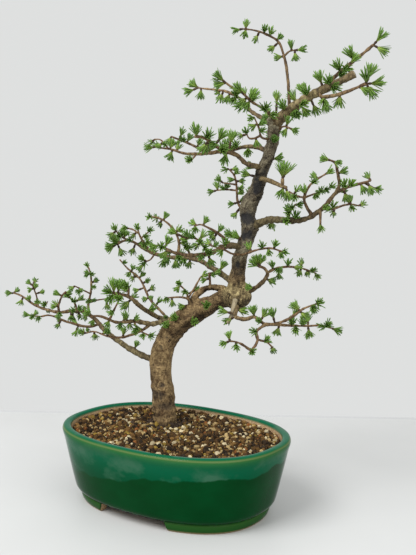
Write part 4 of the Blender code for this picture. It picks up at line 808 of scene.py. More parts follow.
def end_fans(rows, columns):
    """Triangles from a pole to the first ring and from the last ring to another, both after the grid."""
    column = np.arange(columns)
    after = (column + 1) % columns
    last = (rows - 1) * columns
    start = np.stack([np.full(columns, rows * columns), after, column], axis=-1)
    end = np.stack([np.full(columns, rows * columns + 1), last + column, last + after], axis=-1)
    return np.concatenate([start, end])


def closed_shell(rings, poles, values, flipped=False):
    """A closed shape: squares between the rings of points, and a fan to a pole at each end.

    Values are one row for each ring. Flipped faces point the other way.
    """
    rows, columns = rings.shape[:2]
    way = -1 if flipped else 1
    return (np.vstack([rings.reshape(-1, 3), poles]), grid_faces(rows, columns)[:, ::way],
            end_fans(rows, columns)[:, ::way],
            np.vstack([np.repeat(values, columns, axis=0), values[:1], values[-1:]]))


def tube(points, radii, sides, values, lumps=0.0, dome=ROUND_END):
    """A round limb: a circle of each radius carried along the points, with a dome at each end.

    The circle lies across the path, on two axes made from the path's direction and the direction
    that it turns from least. Lumps is a share of the radius that soft noise adds or takes away.
    """
    points = np.asarray(points, float)
    direction = unit(np.gradient(points, axis=0))
    reference = np.linalg.eigh(direction.T @ direction)[1][:, 0]
    side = unit(np.cross(direction, reference))
    other = np.cross(side, direction)
    angle = np.arange(sides) * math.tau / sides
    ring = side[:, None] * np.cos(angle)[:, None] + other[:, None] * np.sin(angle)[:, None]
    surface = points[:, None] + ring * radii[:, None, None]
    surface = surface + ring * radii[:, None, None] * lumps * soft_noise(surface, LUMP_SIZE)[..., None]
    poles = np.stack([points[0] - direction[0] * radii[0] * dome,
                      points[-1] + direction[-1] * radii[-1] * dome])
    return closed_shell(surface, poles, values, flipped=True)


# Wood


def limb(twig):
    """Closely spaced points and radii of a twig."""
    start_radius, end_radius, _, route, _ = twig
    points, at = evenly(route, max(4, round(route_length(route) / TWIG_STEP)))
    return points, start_radius + (end_radius - start_radius) * at / at[-1]


def branch_limbs(twigs):
    """Points and radii of every twig of a branch, each rooted on the nearest wood before it.

    A twig is shifted to its root by a square curve that fades to nothing at its tip.
    """
    limbs = [limb(twigs[0])]
    for twig in twigs[1:]:
        grown = np.vstack([points for points, _ in limbs])
        points, radii = limb(twig)
        shift = grown[np.argmin(((grown - points[0]) ** 2).sum(axis=1))] - points[0]
        fade = np.clip(1 - np.arange(len(points)) / (len(points) - 1), 0, 1)[:, None] ** 2
        limbs.append((points + shift * fade, radii))
    return limbs


def old_wood(radii):
    """How old the bark of a limb is, from its radius: 0 on a young twig, 1 on a thick limb."""
    return np.clip((radii - YOUNG_RADIUS) / AGEING, 0, 1)


def twig_wood(limbs):
    """The wood of a branch, one tube for each twig, with age and no dark in its values."""
    shapes = []
    for points, radii in limbs:
        swell = (TWIG_SWELL + THICK_SWELL * smooth_step((radii - THICK_FROM) / THICK_FADE)
                 + sum(much * soft_noise(points, size, seed) for much, size, seed in TWIG_NOISES))
        values = np.stack([old_wood(radii), np.zeros(len(radii))], axis=-1)
        sides = THICK_TWIG_SIDES if radii.max() > MANY_SIDES_FROM else TWIG_SIDES
        dome = FLAT_END if radii[-1] > SAWN_RADIUS else ROUND_END
        shapes.append(tube(tree_to_world(points), radii * swell, sides, values, TWIG_LUMPS, dome))
    return shapes


def sawn_face(points, radius):
    """The pale disc of bare wood where a limb was sawn off: a very short tube at the limb's end."""
    way = unit(points[-1] - points[-3])
    ends = points[-1] + way * np.array(SAWN_ENDS)[:, None]
    return tube(tree_to_world(ends), np.full(2, radius), SAWN_SIDES, np.zeros((2, 2)), STUB_LUMPS, FLAT_END)


# Tufts. Each is a row of its root, its axis, its spur's length and its needles' length.


def tuft_place(points, radii, target, lean, needle):
    """The row of a tuft seen at the target, rooted on the nearest wood.

    A tuft that is seen over its own wood leans to the front, so that the wood doesn't hide it.
    """
    flat = points[:, [0, 2]]
    nearest = int(np.argmin(((flat - target) ** 2).sum(axis=1)))
    reach = np.array(target) - flat[nearest]
    if np.linalg.norm(reach) < radii[nearest] + OVER_WOOD:
        lean = -max(abs(lean), LEAN_OVER_WOOD)
    offset = np.array([reach[0], lean, reach[1]])
    distance = np.linalg.norm(offset)
    spur = max(distance - MIDDLE_OF_NEEDLES * needle, radii[nearest] + SPUR_PAST_WOOD)
    return (*points[nearest], *(offset / distance), spur, needle)


def placed_tufts(twigs, limbs):
    """The rows of the tufts of a branch that are placed singly. Each takes the next of the leans."""
    aims = [(grown, target, twig[2]) for twig, grown in zip(twigs, limbs) for target in twig[4]]
    return [tuft_place(*grown, target, LEANS[number % len(LEANS)], needle)
            for number, (grown, target, needle) in enumerate(aims, 1)]


def bark_tuft(run, target, way):
    """The row of a tuft on the trunk: it grows straight out of the bark, and up a little.

    The way is -1 on the trunk's front and 1 on its back.
    """
    flat = target - run[:, [0, 2]]
    nearest = int(np.argmin((flat ** 2).sum(axis=1)))
    reach = flat[nearest]
    radius = run[nearest, 3]
    out = np.array([reach[0], way * math.sqrt(max(radius ** 2 - reach @ reach, 4.0)), reach[1]])
    root = run[nearest, :3] + unit(out) * (radius - 1)
    return (*root, *unit(unit(out) + BARK_TUFT_RISE), BARK_SPUR, TRUNK_NEEDLE)


def fill_tufts(limbs, needle, pitch, seed):
    """The rows of small tufts along the thinner twigs: one to the front for every two to the back.

    The tufts that are placed singly fill the front already.
    """
    draws = np.random.default_rng(seed)
    rows = []
    for points, radii in limbs:
        count = int(route_length(points) / pitch)
        if count < 1:
            continue
        at = np.clip(((np.arange(count) + draws.uniform(*FILL_PLACES, count)) / count * len(points)
                      ).astype(int), 1, len(points) - 1)
        for number, index in enumerate(at[radii[at] < THICK_TWIG]):
            facing = FILL_FACING if number % 3 else -FILL_FACING
            axis = np.array([draws.normal(*FILL_SIDEWAYS), facing, draws.normal(*FILL_UP)])
            axis /= np.linalg.norm(axis)
            rows.append((*points[index], *axis, radii[index] + draws.uniform(*FILL_SPURS),
                         needle * draws.uniform(*FILL_NEEDLES)))
    return rows


def spurs(places):
    """The spurs under the tufts: short knobs of dark scaly wood, widest at the top."""
    values = np.stack([np.full(len(SPUR_STEPS), SPUR_AGE), np.array(SPUR_DARK)], axis=-1)
    return [tube(tree_to_world(place[:3] + place[3:6] * SPUR_STEPS[:, None] * place[6]),
                 SPUR_WIDTHS * SPUR_RADIUS, SPUR_SIDES, values) for place in places]


def needle_lines(places, draws):
    """Tuft number, root, way outwards, direction, bend and length of each needle of some tufts.

    Directions fill a cone about the tuft's axis evenly by turning each by the golden angle from the
    one before. The bend goes outwards and a little up.
    """
    counts = np.where(places[:, 7] >= FULL_TUFT_NEEDLE, NEEDLES_FULL, NEEDLES_SMALL)
    tuft = np.repeat(np.arange(len(places)), counts)
    order = np.concatenate([np.arange(count) for count in counts])
    share = (order + 0.5) / counts[tuft]
    total = len(tuft)
    axis = places[tuft, 3:6]
    side = unit(np.cross(axis, np.where(np.abs(axis[:, 2:]) < 0.8, [[0.0, 0, 1]], [[1.0, 0, 0]])))
    other = np.cross(axis, side)
    turn = order * GOLDEN_ANGLE + tuft * TUFT_TURN + draws.normal(0, TURN_SHAKE, total)
    spread = TUFT_SPREAD * np.sqrt(share) * draws.uniform(*NEEDLE_SPREADS, total)
    outward = side * np.cos(turn)[:, None] + other * np.sin(turn)[:, None]
    first = spread * NEEDLE_START
    direction = axis * np.cos(first)[:, None] + outward * np.sin(first)[:, None]
    bend = (outward * (np.sin(spread) - np.sin(first) + draws.uniform(*NEEDLE_BENDS, total))[:, None]
            + draws.normal(0, BEND_SHAKE, (total, 3)) + np.array(NEEDLE_LIFT))
    length = places[tuft, 7] * draws.uniform(*NEEDLE_LENGTHS, total) * (1 - OUTER_SHORTER * share)
    root = (places[tuft, :3] + axis * (places[tuft, 6] - SPUR_OVERLAP)[:, None]
            + outward * (SPUR_TOP * np.sqrt(share))[:, None])
    return tuft, root, outward, direction, bend, length


def needles(places, seed):
    """All the needles of some tufts: three-sided blades that spread and bend out from each spur.

    A needle's middle line is root + length * (direction * t + bend * t^2). Its section is a flat
    triangle whose width grows from the root, holds, and ends in a point. Values are how far along
    the needle a point is, and a tone drawn for each tuft and each needle.
    """
    draws = np.random.default_rng(seed)
    tuft, root, outward, direction, bend, length = needle_lines(places, draws)
    total = len(tuft)
    flat_way = unit(np.cross(direction, outward) + draws.normal(0, TWIST_SHAKE, (total, 3)))
    thick_way = np.cross(direction, flat_way)
    angle = np.arange(3) * math.tau / 3 + math.pi / 2
    rings = []
    for t, width in zip(NEEDLE_STATIONS, NEEDLE_WIDTHS):
        middle = root + length[:, None] * (direction * t + bend * t * t)
        for corner in angle:
            rings.append(middle + NEEDLE_WIDTH * width
                         * (flat_way * math.cos(corner) + thick_way * math.sin(corner) * NEEDLE_FLATNESS))
    rings.append(root + length[:, None] * (direction + bend))
    points = np.stack(rings, axis=1)
    stations = len(NEEDLE_STATIONS)
    per = 3 * stations + 1
    start = (np.arange(total) * per)[:, None, None]
    quads = grid_faces(stations, 3)[None] + start
    last = 3 * (stations - 1)
    tip = 3 * stations
    fan = np.array([(2, 1, 0), (last, last + 1, tip), (last + 1, last + 2, tip), (last + 2, last, tip)])
    triangles = fan[None] + start
    shade = np.repeat(np.append(np.repeat(NEEDLE_STATIONS, 3), 1.0)[None], total, axis=0)
    tone = draws.uniform(0, 0.5, total) + 0.5 * hashed(tuft[:, None] + [[0, 3, 7]], 2)
    values = np.stack([shade.ravel(), np.repeat(tone, per)], axis=-1)
    return tree_to_world(points.reshape(-1, 3)), quads.reshape(-1, 4), triangles.reshape(-1, 3), values


# Trunk


def ball(middle, half_sizes):
    """A burl: a sphere of rings and columns, scaled to its half-sizes."""
    rise = np.linspace(-math.pi / 2, math.pi / 2, BURL_RINGS + 2)[1:-1, None]
    angle = np.arange(BURL_SIDES) * math.tau / BURL_SIDES
    rings = np.stack([np.cos(rise) * np.cos(angle), np.cos(rise) * np.sin(angle),
                      np.repeat(np.sin(rise), BURL_SIDES, axis=1)], axis=-1)
    poles = np.array([[0, 0, -1], [0, 0, 1]])
    rings, poles = (tree_to_world(part * np.array(half_sizes) + middle) for part in (rings, poles))
    return closed_shell(rings, poles, np.zeros((BURL_RINGS, 2)))


def remeshed(piece):
    """The piece's shells fused into one skin of even squares, then relaxed: points, normals, squares."""
    skin = piece.modifiers.new("skin", "REMESH")
    skin.mode = "VOXEL"
    skin.voxel_size = BARK_VOXEL * MM
    relax = piece.modifiers.new("relax", "SMOOTH")
    relax.factor = 0.5
    relax.iterations = BARK_SMOOTHING
    bpy.context.view_layer.update()
    made = piece.evaluated_get(bpy.context.evaluated_depsgraph_get()).to_mesh()
    points = np.empty(len(made.vertices) * 3)
    made.vertices.foreach_get("co", points)
    normals = np.empty(len(made.vertices) * 3)
    made.vertices.foreach_get("normal", normals)
    corners = np.empty(len(made.loops), dtype=np.int64)
    made.loops.foreach_get("vertex_index", corners)
    bpy.data.objects.remove(piece, do_unlink=True)
    return points.reshape(-1, 3) / MM, normals.reshape(-1, 3), corners.reshape(-1, 4)


def nearest_on(route, points):
    """For each point, its nearest sample of the route: the distance along, its place and its radius.

    The points are taken in forty lots, which keeps each table of distances small.
    """
    samples, at = evenly(route, ROUTE_SAMPLES)
    world = tree_to_world(samples[:, :3])
    nearest = np.concatenate([((part[:, None] - world[None]) ** 2).sum(axis=-1).argmin(axis=1)
                              for part in np.array_split(points, 40)])
    return at[nearest], world[nearest], samples[nearest, 3]


def cord_of_bark(route, points):
    """How near each point is to a cord along the route: a bell curve of its distance."""
    samples = tree_to_world(evenly(route, 30)[0])
    return bell(np.linalg.norm(points[:, None] - samples[None], axis=-1).min(axis=1), CORD_WIDTH)


def bark_features(points, normals):
    """What shapes and colours the bark: one value for each point under each name.

    Streaks and plates are soft noise stretched along the trunk, and a furrow lies where another
    noise is near zero. Wrinkles across the trunk are a sine of the way along it. The burl has a seam
    where two lobes' middles are equally far, and a swirl of rings round one of them. Cords are bell
    curves of the distance from their routes. The knot's rings are a cosine of the distance from it.
    Under grows as the bark faces down, for painted shade there, and the pale and lit bands are a sum
    of bell curves about some heights, one of them painted light on the bend.
    """
    at, middle, radius = nearest_on(BARK_ROUTE, points)
    around = unit(points - middle) * radius[:, None]
    warp = BARK_WARP * soft_noise(points, 7.0, 18)
    place = np.stack([around[:, 0] + warp, around[:, 1] - warp, at * BARK_STRETCH + around[:, 2]], axis=-1)
    ringed = smooth_step((LOW_RINGS_END - points[:, 2]) / LOW_RINGS_FADE)
    left, right = (np.linalg.norm(points - tree_to_world(lobe), axis=1) for lobe in BURL_LOBES)
    on_burl = bell(np.minimum(left, right), BURL_REACH, 4)
    from_knot = np.linalg.norm(points - tree_to_world(KNOT), axis=1) + 0.8 * soft_noise(points, 3.0, 24)
    return {
        "streaks": soft_noise(place, BARK_SIZE * 0.55, 11) + 0.6 * soft_noise(place, BARK_SIZE * 0.3, 12),
        "plates": soft_noise(place, BARK_SIZE * 1.5, 19),
        "furrow": -np.clip(1 - np.abs(soft_noise(place, BARK_SIZE, 13)) / FURROW_WIDTH, 0, 1),
        "lumps": soft_noise(points, 9.0, 14) + 0.5 * soft_noise(points, 4.5, 23),
        "wrinkles": (np.sin(at * WRINKLE_TURN + 2 * soft_noise(points, 8.0, 15))
                     * (1.3 * ringed + soft_noise(points, 14.0, 16))),
        "seam": on_burl * bell(left - right + 2 * soft_noise(points, 5.0, 20), SEAM_WIDTH),
        "swirl": on_burl * np.sin(right * SWIRL_TURN + 2.6 * soft_noise(points, 4.5, 22)),
        "cords": sum(cord_of_bark(cord, points) for cord in BARK_CORDS),
        "rings": bell(from_knot, KNOT_SIZE, 4) * np.cos(from_knot * KNOT_TURN),
        # Painted shade on bark that faces down.
        "under": smooth_step(0.2 - 1.5 * normals[:, 2]),
        # Painted light on the bend, and paler bark about the other heights.
        "pale_and_lit_bands": sum(much * bell(points[:, 2] - height, width) for height, width, much in PALE_AND_LIT_BANDS),
    }


def trunk_skin(wood_shapes):
    """The bark of the trunk: one skin over the shapes, pushed out and in along its normals.

    The push and the shade are weighted sums of the bark's features, so the shade holds painted light
    on proud bark and painted shade in hollows and on bark that faces down. A scar is a squashed ball with
    an edge that soft noise breaks up, and it dents the bark and makes it dark.
    """
    points, normals, quads = remeshed(new_piece("raw_trunk", joined(wood_shapes), None))
    features = bark_features(points, normals)
    upper = smooth_step((points[:, 2] - ROUGH_BARK_HEIGHT) / ROUGH_BARK_FADE)
    push = np.zeros(len(points))
    shade = np.full(len(points), BARK_SHADE)
    # The paler share is painted light on proud bark, painted shade in hollows and under, and the bands.
    for name, (out, further, paler) in BARK_FEATURES.items():
        push += (out + further * upper) * features[name]
        shade += paler * features[name]
    ragged = SCAR_RAGGED * soft_noise(points, 3.0, 17) + SCAR_STREAKED * features["streaks"]
    scar = np.zeros(len(points))
    for spot, size, depth in SCARS:
        apart = points - tree_to_world(spot)
        away = np.hypot(np.linalg.norm(apart[:, :2], axis=1) / size[0], apart[:, 2] / size[1])
        mark = np.clip(SCAR_CORE - away + ragged, 0, 1)
        scar = np.maximum(scar, np.clip(mark * SCAR_SLOPE, 0, SCAR_DARKEST) * depth)
        push -= SCAR_DENT * mark * depth
    values = np.stack([np.clip(shade, 0, 1), scar], axis=-1)
    return points + normals * push[:, None], quads, NO_TRIANGLES, values


# Pot and soil


def oval(inset, columns):
    """An oval at an inset from the rim: both coordinates are powers of a cosine and a sine."""
    angle = np.arange(columns) * math.tau / columns
    x = np.sign(np.cos(angle)) * np.abs(np.cos(angle)) ** (2 / OVAL_POWER)
    y = np.sign(np.sin(angle)) * np.abs(np.sin(angle)) ** (2 / OVAL_POWER)
    return (POT_HALF[0] - inset) * x, (POT_HALF[1] - inset) * y


def pot_shape(columns=480):
    """The pot: a wall profile of insets and heights carried round the oval, closed below and inside.

    Between the feet the foot ring's underside is lifted by a steep smooth step of the distance from
    the gap's edge. Values are how bare of glaze each row is, and how thin the glaze breaks there.
    """
    rows = []
    for start, end in zip(POT_PROFILE, POT_PROFILE[1:]):
        steps = max(1, round(math.hypot(end[0] - start[0], end[1] - start[1]) / PROFILE_STEP))
        rows.append(np.linspace(start, end, steps, endpoint=False))
    rows = np.vstack(rows + [[POT_PROFILE[-1]]])
    x, y = oval(rows[:, :1], columns)
    height = rows[:, 1:2]
    lift = smooth_step((FOOT_GAP_HALF - np.abs(x)) / FOOT_GAP_SLOPE + 0.5) * FOOT_GAP_HEIGHT
    z = np.where(height < FOOT_GAP_HEIGHT, np.maximum(height, lift), height)
    return closed_shell(pot_to_world(x, y, z), pot_to_world(0, 0, rows[[0, -1], 1]), rows[:, 2:])


def drill(pot):
    """Cut the two round drain holes through the pot's floor."""
    for way in (-1, 1):
        ends = pot_to_world(way * DRAIN_OFFSET, 0, np.array(DRILL_ENDS))
        bare_clay = np.array([(1.0, 0.0), (1.0, 0.0)])
        shape = tube(ends, np.full(2, DRAIN_RADIUS), DRAIN_SIDES, bare_clay, dome=0.0)
        bit = new_piece("drill_bit", shape, pot.data.materials[0])
        cut = pot.modifiers.new("hole", "BOOLEAN")
        cut.object = bit
        cut.solver = "EXACT"
        bpy.context.view_layer.update()
        cut_pot = pot.evaluated_get(bpy.context.evaluated_depsgraph_get())
        pot.data = bpy.data.meshes.new_from_object(cut_pot)
        pot.modifiers.clear()
        bpy.data.objects.remove(bit, do_unlink=True)


def soil_dome(share):
    """The soil's height at a share of the way from its middle to its edge: a low square curve."""
    return SOIL_EDGE_HEIGHT + SOIL_DOME * (1 - share ** 2)


def soil_shape(columns=160, rows=60):
    """The ground under the granules: a dome over the oval, with soft noise, closed by a flat bottom."""
    share = np.linspace(1, 0.02, rows)[:, None]
    x, y = oval(SOIL_EDGE_INSET, columns)
    dome = pot_to_world(x * share, y * share, soil_dome(share) - GROUND_DEPTH)
    dome[..., 2] += GROUND_LUMPS * soft_noise(dome, GROUND_LUMP_SIZE, 21)
    bottom = pot_to_world(*oval(SOIL_BOTTOM_INSET, columns), SOIL_BOTTOM)
    poles = pot_to_world(0, 0, np.array([SOIL_BOTTOM, soil_dome(0) - GROUND_DEPTH]))
    return closed_shell(np.concatenate([bottom[None], dome]), poles,
                        np.repeat([GROUND_COLOUR], rows + 1, axis=0))


def twenty_sided():
    """Corners and triangles of a twenty-sided stone of radius one."""
    golden = (1 + math.sqrt(5)) / 2
    corners = unit(np.array([(-1, golden, 0), (1, golden, 0), (-1, -golden, 0), (1, -golden, 0),
                             (0, -1, golden), (0, 1, golden), (0, -1, -golden), (0, 1, -golden),
                             (golden, 0, -1), (golden, 0, 1), (-golden, 0, -1), (-golden, 0, 1)], float))
    faces = np.array([(0, 11, 5), (0, 5, 1), (0, 1, 7), (0, 7, 10), (0, 10, 11), (1, 5, 9), (5, 11, 4),
                      (11, 10, 2), (10, 7, 6), (7, 1, 8), (3, 9, 4), (3, 4, 2), (3, 2, 6), (3, 6, 8),
                      (3, 8, 9), (4, 9, 5), (2, 4, 11), (6, 2, 10), (8, 6, 7), (9, 8, 1)])
    return corners, faces


def granule_places(draws):
    """Middle, size and way from the trunk's foot of each grain: a staggered grid, shaken at random.

    Grains outside the oval or inside the trunk's hole are left out. Each lies on the soil's dome,
    higher by a share of its size and a draw, and those by the wall are heaped up by a smooth step.
    """
    across = np.arange(-POT_HALF[0], POT_HALF[0], GRANULE_PITCH)
    down = np.arange(-POT_HALF[1], POT_HALF[1], GRANULE_ROW_PITCH)
    x, y = np.meshgrid(across, down)
    x = x + (np.arange(len(down)) % 2)[:, None] * GRANULE_PITCH / 2
    x = (x + draws.uniform(-GRANULE_SHAKE, GRANULE_SHAKE, x.shape)).ravel()
    y = (y + draws.uniform(-GRANULE_SHAKE, GRANULE_SHAKE, y.shape)).ravel()
    size = np.clip(draws.lognormal(GRANULE_MEAN, GRANULE_SPREAD, len(x)), *GRANULE_SIZES)
    inner = POT_HALF[:2] - SOIL_EDGE_INSET - WALL_GAP
    reach = ((np.abs(x) / (inner[0] - size * WALL_SHARE)) ** OVAL_POWER
             + (np.abs(y) / (inner[1] - size * WALL_SHARE)) ** OVAL_POWER)
    foot = (tree_to_world(LOWER_TRUNK[0][:3]) - POT_CENTRE)[:2, None]
    keep = (reach < 1) & (np.hypot(*(np.stack([x, y]) - foot)) > TRUNK_HOLE_RADIUS - 1)
    x, y, size, reach = (part[keep] for part in (x, y, size, reach))
    share = reach ** (1 / OVAL_POWER)
    z = (soil_dome(share) - GRANULE_DEPTH + size * GRANULE_LIFT_SHARE + draws.uniform(*GRANULE_LIFTS, len(x))
         + smooth_step((share - HEAP_START) / (1 - HEAP_START)))
    return pot_to_world(x, y, z), size, np.stack([x, y]) - foot


def granules(seed):
    """The soil's grains: twenty-sided stones, each squeezed, dented and turned its own way.

    Colours are drawn from a few kinds of stone. The chance of moss, and that of a dark stone of painted
    shadow round the trunk's foot, is a bell curve of the distance from its middle.
    """
    draws = np.random.default_rng(seed)
    middles, size, from_foot = granule_places(draws)
    count = len(size)
    corners, faces = twenty_sided()
    stone = corners[None] * draws.uniform(*STONE_DENTS, (count, 12, 1))
    stone = stone * draws.uniform(*STONE_SQUEEZE, (count, 1, 3)) * size[:, None, None]
    turn = np.linalg.qr(draws.normal(size=(count, 3, 3)))[0]
    turn = turn * np.linalg.det(turn)[:, None, None]
    points = stone @ turn + middles[:, None]
    kind = draws.choice(len(GRANULE_COLOURS), count, p=GRANULE_SHARES)
    colour = GRANULE_COLOURS[kind] * draws.uniform(*STONE_LIGHT, (count, 1))
    from_moss = from_foot - MOSS_OFFSET * np.array([[math.sin(TREE_TURN)], [-math.cos(TREE_TURN)]])
    mossy = draws.uniform(0, 1, count) < MOSS_CHANCE * bell(np.hypot(*from_moss), MOSS_REACH)
    moss = MOSS_COLOUR * draws.uniform(*MOSS_LIGHT, (count, 1))
    # Painted shadow: dark stones round the trunk's foot.
    dark = draws.uniform(0, 1, count) < FOOT_SHADOW_CHANCE * bell(np.hypot(*from_foot), FOOT_SHADOW_REACH)
    foot_shadow = FOOT_SHADOW_COLOUR * draws.uniform(*FOOT_SHADOW_LIGHT, (count, 1))
    colour = np.where(mossy[:, None], moss, colour)
    colour = np.where(dark[:, None], foot_shadow, colour)
    triangles = (faces[None] + (np.arange(count) * 12)[:, None, None]).reshape(-1, 3)
    return points.reshape(-1, 3), NO_QUADS, triangles, np.repeat(colour, 12, axis=0)


# Materials


class Look:
    """A material in the making: each method adds a node, and most give back its output.

    A node is fed with outputs, numbers, tuples for colours and lists for vectors.
    """

    def __init__(self, name):
        self.material = bpy.data.materials.new(name)
        self.material.use_nodes = True
        self.shader = self.material.node_tree.nodes["Principled BSDF"]

    def feed(self, node, inputs):
        """Link an output to each input of a node, or set a plain colour or value in it."""
        for socket, given in inputs.items():
            if isinstance(given, bpy.types.NodeSocket):
                self.material.node_tree.links.new(given, node.inputs[socket])
            elif isinstance(given, tuple):
                node.inputs[socket].default_value = (*given, 1.0)
            else:
                node.inputs[socket].default_value = given

    def add(self, kind, inputs, **settings):
        """A new node with its settings, and with its inputs fed."""
        node = self.material.node_tree.nodes.new("ShaderNode" + kind)
        for name, value in settings.items():
            setattr(node, name, value)
        self.feed(node, inputs)
        return node

    def attribute(self, name, output="Fac"):
        """What an attribute of the piece holds."""
        return self.add("Attribute", {}, attribute_name=name).outputs[output]

    def place(self):
        """Object coordinates."""
        return self.add("TexCoord", {}).outputs["Object"]

    def axes(self):
        """The X, Y and Z of Object coordinates."""
        return self.add("SeparateXYZ", {"Vector": self.place()}).outputs

    def distance(self, point):
        """The distance from a point."""
        node = self.add("VectorMath", {0: self.place(), 1: list(point)}, operation="DISTANCE")
        return node.outputs["Value"]

    def noise(self, scale, detail=4.0, stretch=None):
        """A noise on Object coordinates, with so many blobs in a metre."""
        where = self.place()
        if stretch:
            where = self.add("Mapping", {"Vector": where, "Scale": stretch}).outputs["Vector"]
        return self.add("TexNoise", {"Vector": where, "Scale": scale, "Detail": detail}).outputs["Fac"]

    def ramp(self, value, *stops):
        """The colour that a value has on a ramp of (position, colour) stops."""
        node = self.add("ValToRGB", {"Fac": value})
        elements = node.color_ramp.elements
        while len(elements) < len(stops):
            elements.new(0.5)
        for element, (position, colour) in zip(elements, stops):
            element.position = position
            element.color = (*colour, 1.0)
        return node.outputs["Color"]

    def mixed(self, share, first, second, way="MIX"):
        """Two colours mixed by a share. The node's inputs 6 and 7 are its colours."""
        node = self.add("Mix", {0: share, 6: first, 7: second}, data_type="RGBA", blend_type=way)
        return node.outputs[2]

    def tinted(self, colour, tint):
        """A colour times a tint."""
        return self.mixed(1.0, colour, tint, "MULTIPLY")

    def scaled(self, value, least, most):
        """A value from 0 to 1 put between two others."""
        return self.add("MapRange", {"Value": value, "To Min": least, "To Max": most}).outputs["Result"]

    def stepped(self, value, start, end):
        """0 up to the start, 1 from the end, and an even curve between."""
        node = self.add("MapRange", {"Value": value, "From Min": start, "From Max": end},
                        interpolation_type="SMOOTHSTEP")
        return node.outputs["Result"]

    def maths(self, way, first, second):
        """A sum, a product or another way to put together two values."""
        return self.add("Math", {0: first, 1: second}, operation=way).outputs["Value"]

    def bump(self, height, depth, strength=1.0):
        """Give the shader a bump of the depth in millimetres."""
        node = self.add("Bump", {"Strength": strength, "Distance": depth * MM, "Height": height})
        self.feed(self.shader, {"Normal": node.outputs["Normal"]})

    def finished(self, colour, roughness, shine=0.5):
        """The material, once its shader has its colour, its roughness and how strongly it mirrors."""
        self.feed(self.shader, {"Base Color": colour, "Roughness": roughness, "Specular IOR Level": shine})
        return self.material


def bark_material():
    """Old bark: tan plates and blotches, dark hollows of painted shade, greyer up the trunk, near black in
    scars.
    """
    look = Look("old_bark")
    fine = look.noise(600.0)
    # The shade attribute carries the painted light and shade of the bark's relief.
    shown = look.maths("MULTIPLY", look.attribute("shade"), look.maths("ADD", fine, 0.45))
    plates = look.ramp(shown, (0.20, (0.024, 0.016, 0.009)), (0.40, (0.086, 0.056, 0.028)),
                       (0.62, (0.186, 0.127, 0.063)), (0.88, (0.33, 0.234, 0.117)))
    blotches = look.ramp(look.noise(210.0), (0.34, (0.50, 0.44, 0.40)), (0.46, (0.88, 0.86, 0.82)),
                         (0.62, (1.0, 0.99, 0.94)))
    flecks = look.ramp(look.noise(480.0, detail=2.0), (0.30, (0.34, 0.29, 0.26)), (0.40, (1.0, 1.0, 1.0)))
    wood = look.tinted(look.tinted(plates, blotches), flecks)
    high = look.stepped(look.axes()["Z"], *(height * MM for height in GREY_BARK_HEIGHTS))
    wood = look.mixed(high, wood, look.tinted(wood, GREY_TINT))
    from_burl = look.distance(tree_to_world(BURLS[0][0]) * MM)
    near = look.stepped(from_burl, *(distance * MM for distance in BURL_PALE))
    wood = look.mixed(near, wood, look.tinted(wood, BURL_TINT))
    look.bump(fine, depth=0.7)
    return look.finished(look.mixed(look.attribute("tone"), wood, SCAR_COLOUR), roughness=0.85, shine=0.2)


def twig_material(name="twig_bark", light=1.0):
    """Twigs: red-brown and smooth where young, grey-brown where thick, dark at the spurs.

    All the colours are scaled by how light the limb is.
    """
    look = Look(name)
    fine = look.noise(450.0, stretch=[1.0, 1.0, 0.6])
    young = look.ramp(fine, (0.32, (0.048, 0.027, 0.016)), (0.50, (0.130, 0.078, 0.044)),
                      (0.70, (0.235, 0.152, 0.090)))
    old = look.ramp(fine, (0.30, (0.027, 0.020, 0.012)), (0.46, (0.082, 0.063, 0.036)),
                    (0.60, (0.130, 0.103, 0.060)), (0.76, (0.205, 0.166, 0.100)))
    dull = tuple(part * light for part in (0.88, 0.82, 0.69))
    warm = tuple(part * light for part in (1.28, 1.29, 1.06))
    tint = look.ramp(look.noise(30.0, detail=1.0), (0.40, dull), (0.60, warm))
    wood = look.tinted(look.mixed(look.attribute("shade"), young, old), tint)
    look.bump(fine, depth=0.5)
    return look.finished(look.mixed(look.attribute("tone"), wood, SPUR_COLOUR), roughness=0.8, shine=0.25)


def dead_wood_material():
    """Dead wood: bare, pale and finely streaked."""
    look = Look("dead_wood")
    streaks = look.noise(500.0, stretch=[1.0, 1.0, 0.2])
    wood = look.ramp(streaks, (0.3, (0.17, 0.135, 0.08)), (0.7, (0.36, 0.30, 0.19)))
    return look.finished(wood, roughness=0.8)


def needle_material():
    """Needles: yellow-green at the root, deep green on, each tuft and needle a little different."""
    look = Look("larch_needles")
    shade = look.attribute("shade")
    deep = look.ramp(shade, (0.0, (0.269, 0.325, 0.078)), (0.3, (0.123, 0.213, 0.034)),
                     (0.7, (0.050, 0.123, 0.018)), (1.0, (0.076, 0.157, 0.027)))
    light = look.ramp(shade, (0.0, (0.358, 0.414, 0.101)), (0.3, (0.235, 0.347, 0.056)),
                      (0.7, (0.140, 0.263, 0.034)), (1.0, (0.196, 0.336, 0.056)))
    return look.finished(look.mixed(look.attribute("tone"), deep, light), roughness=0.45, shine=0.35)


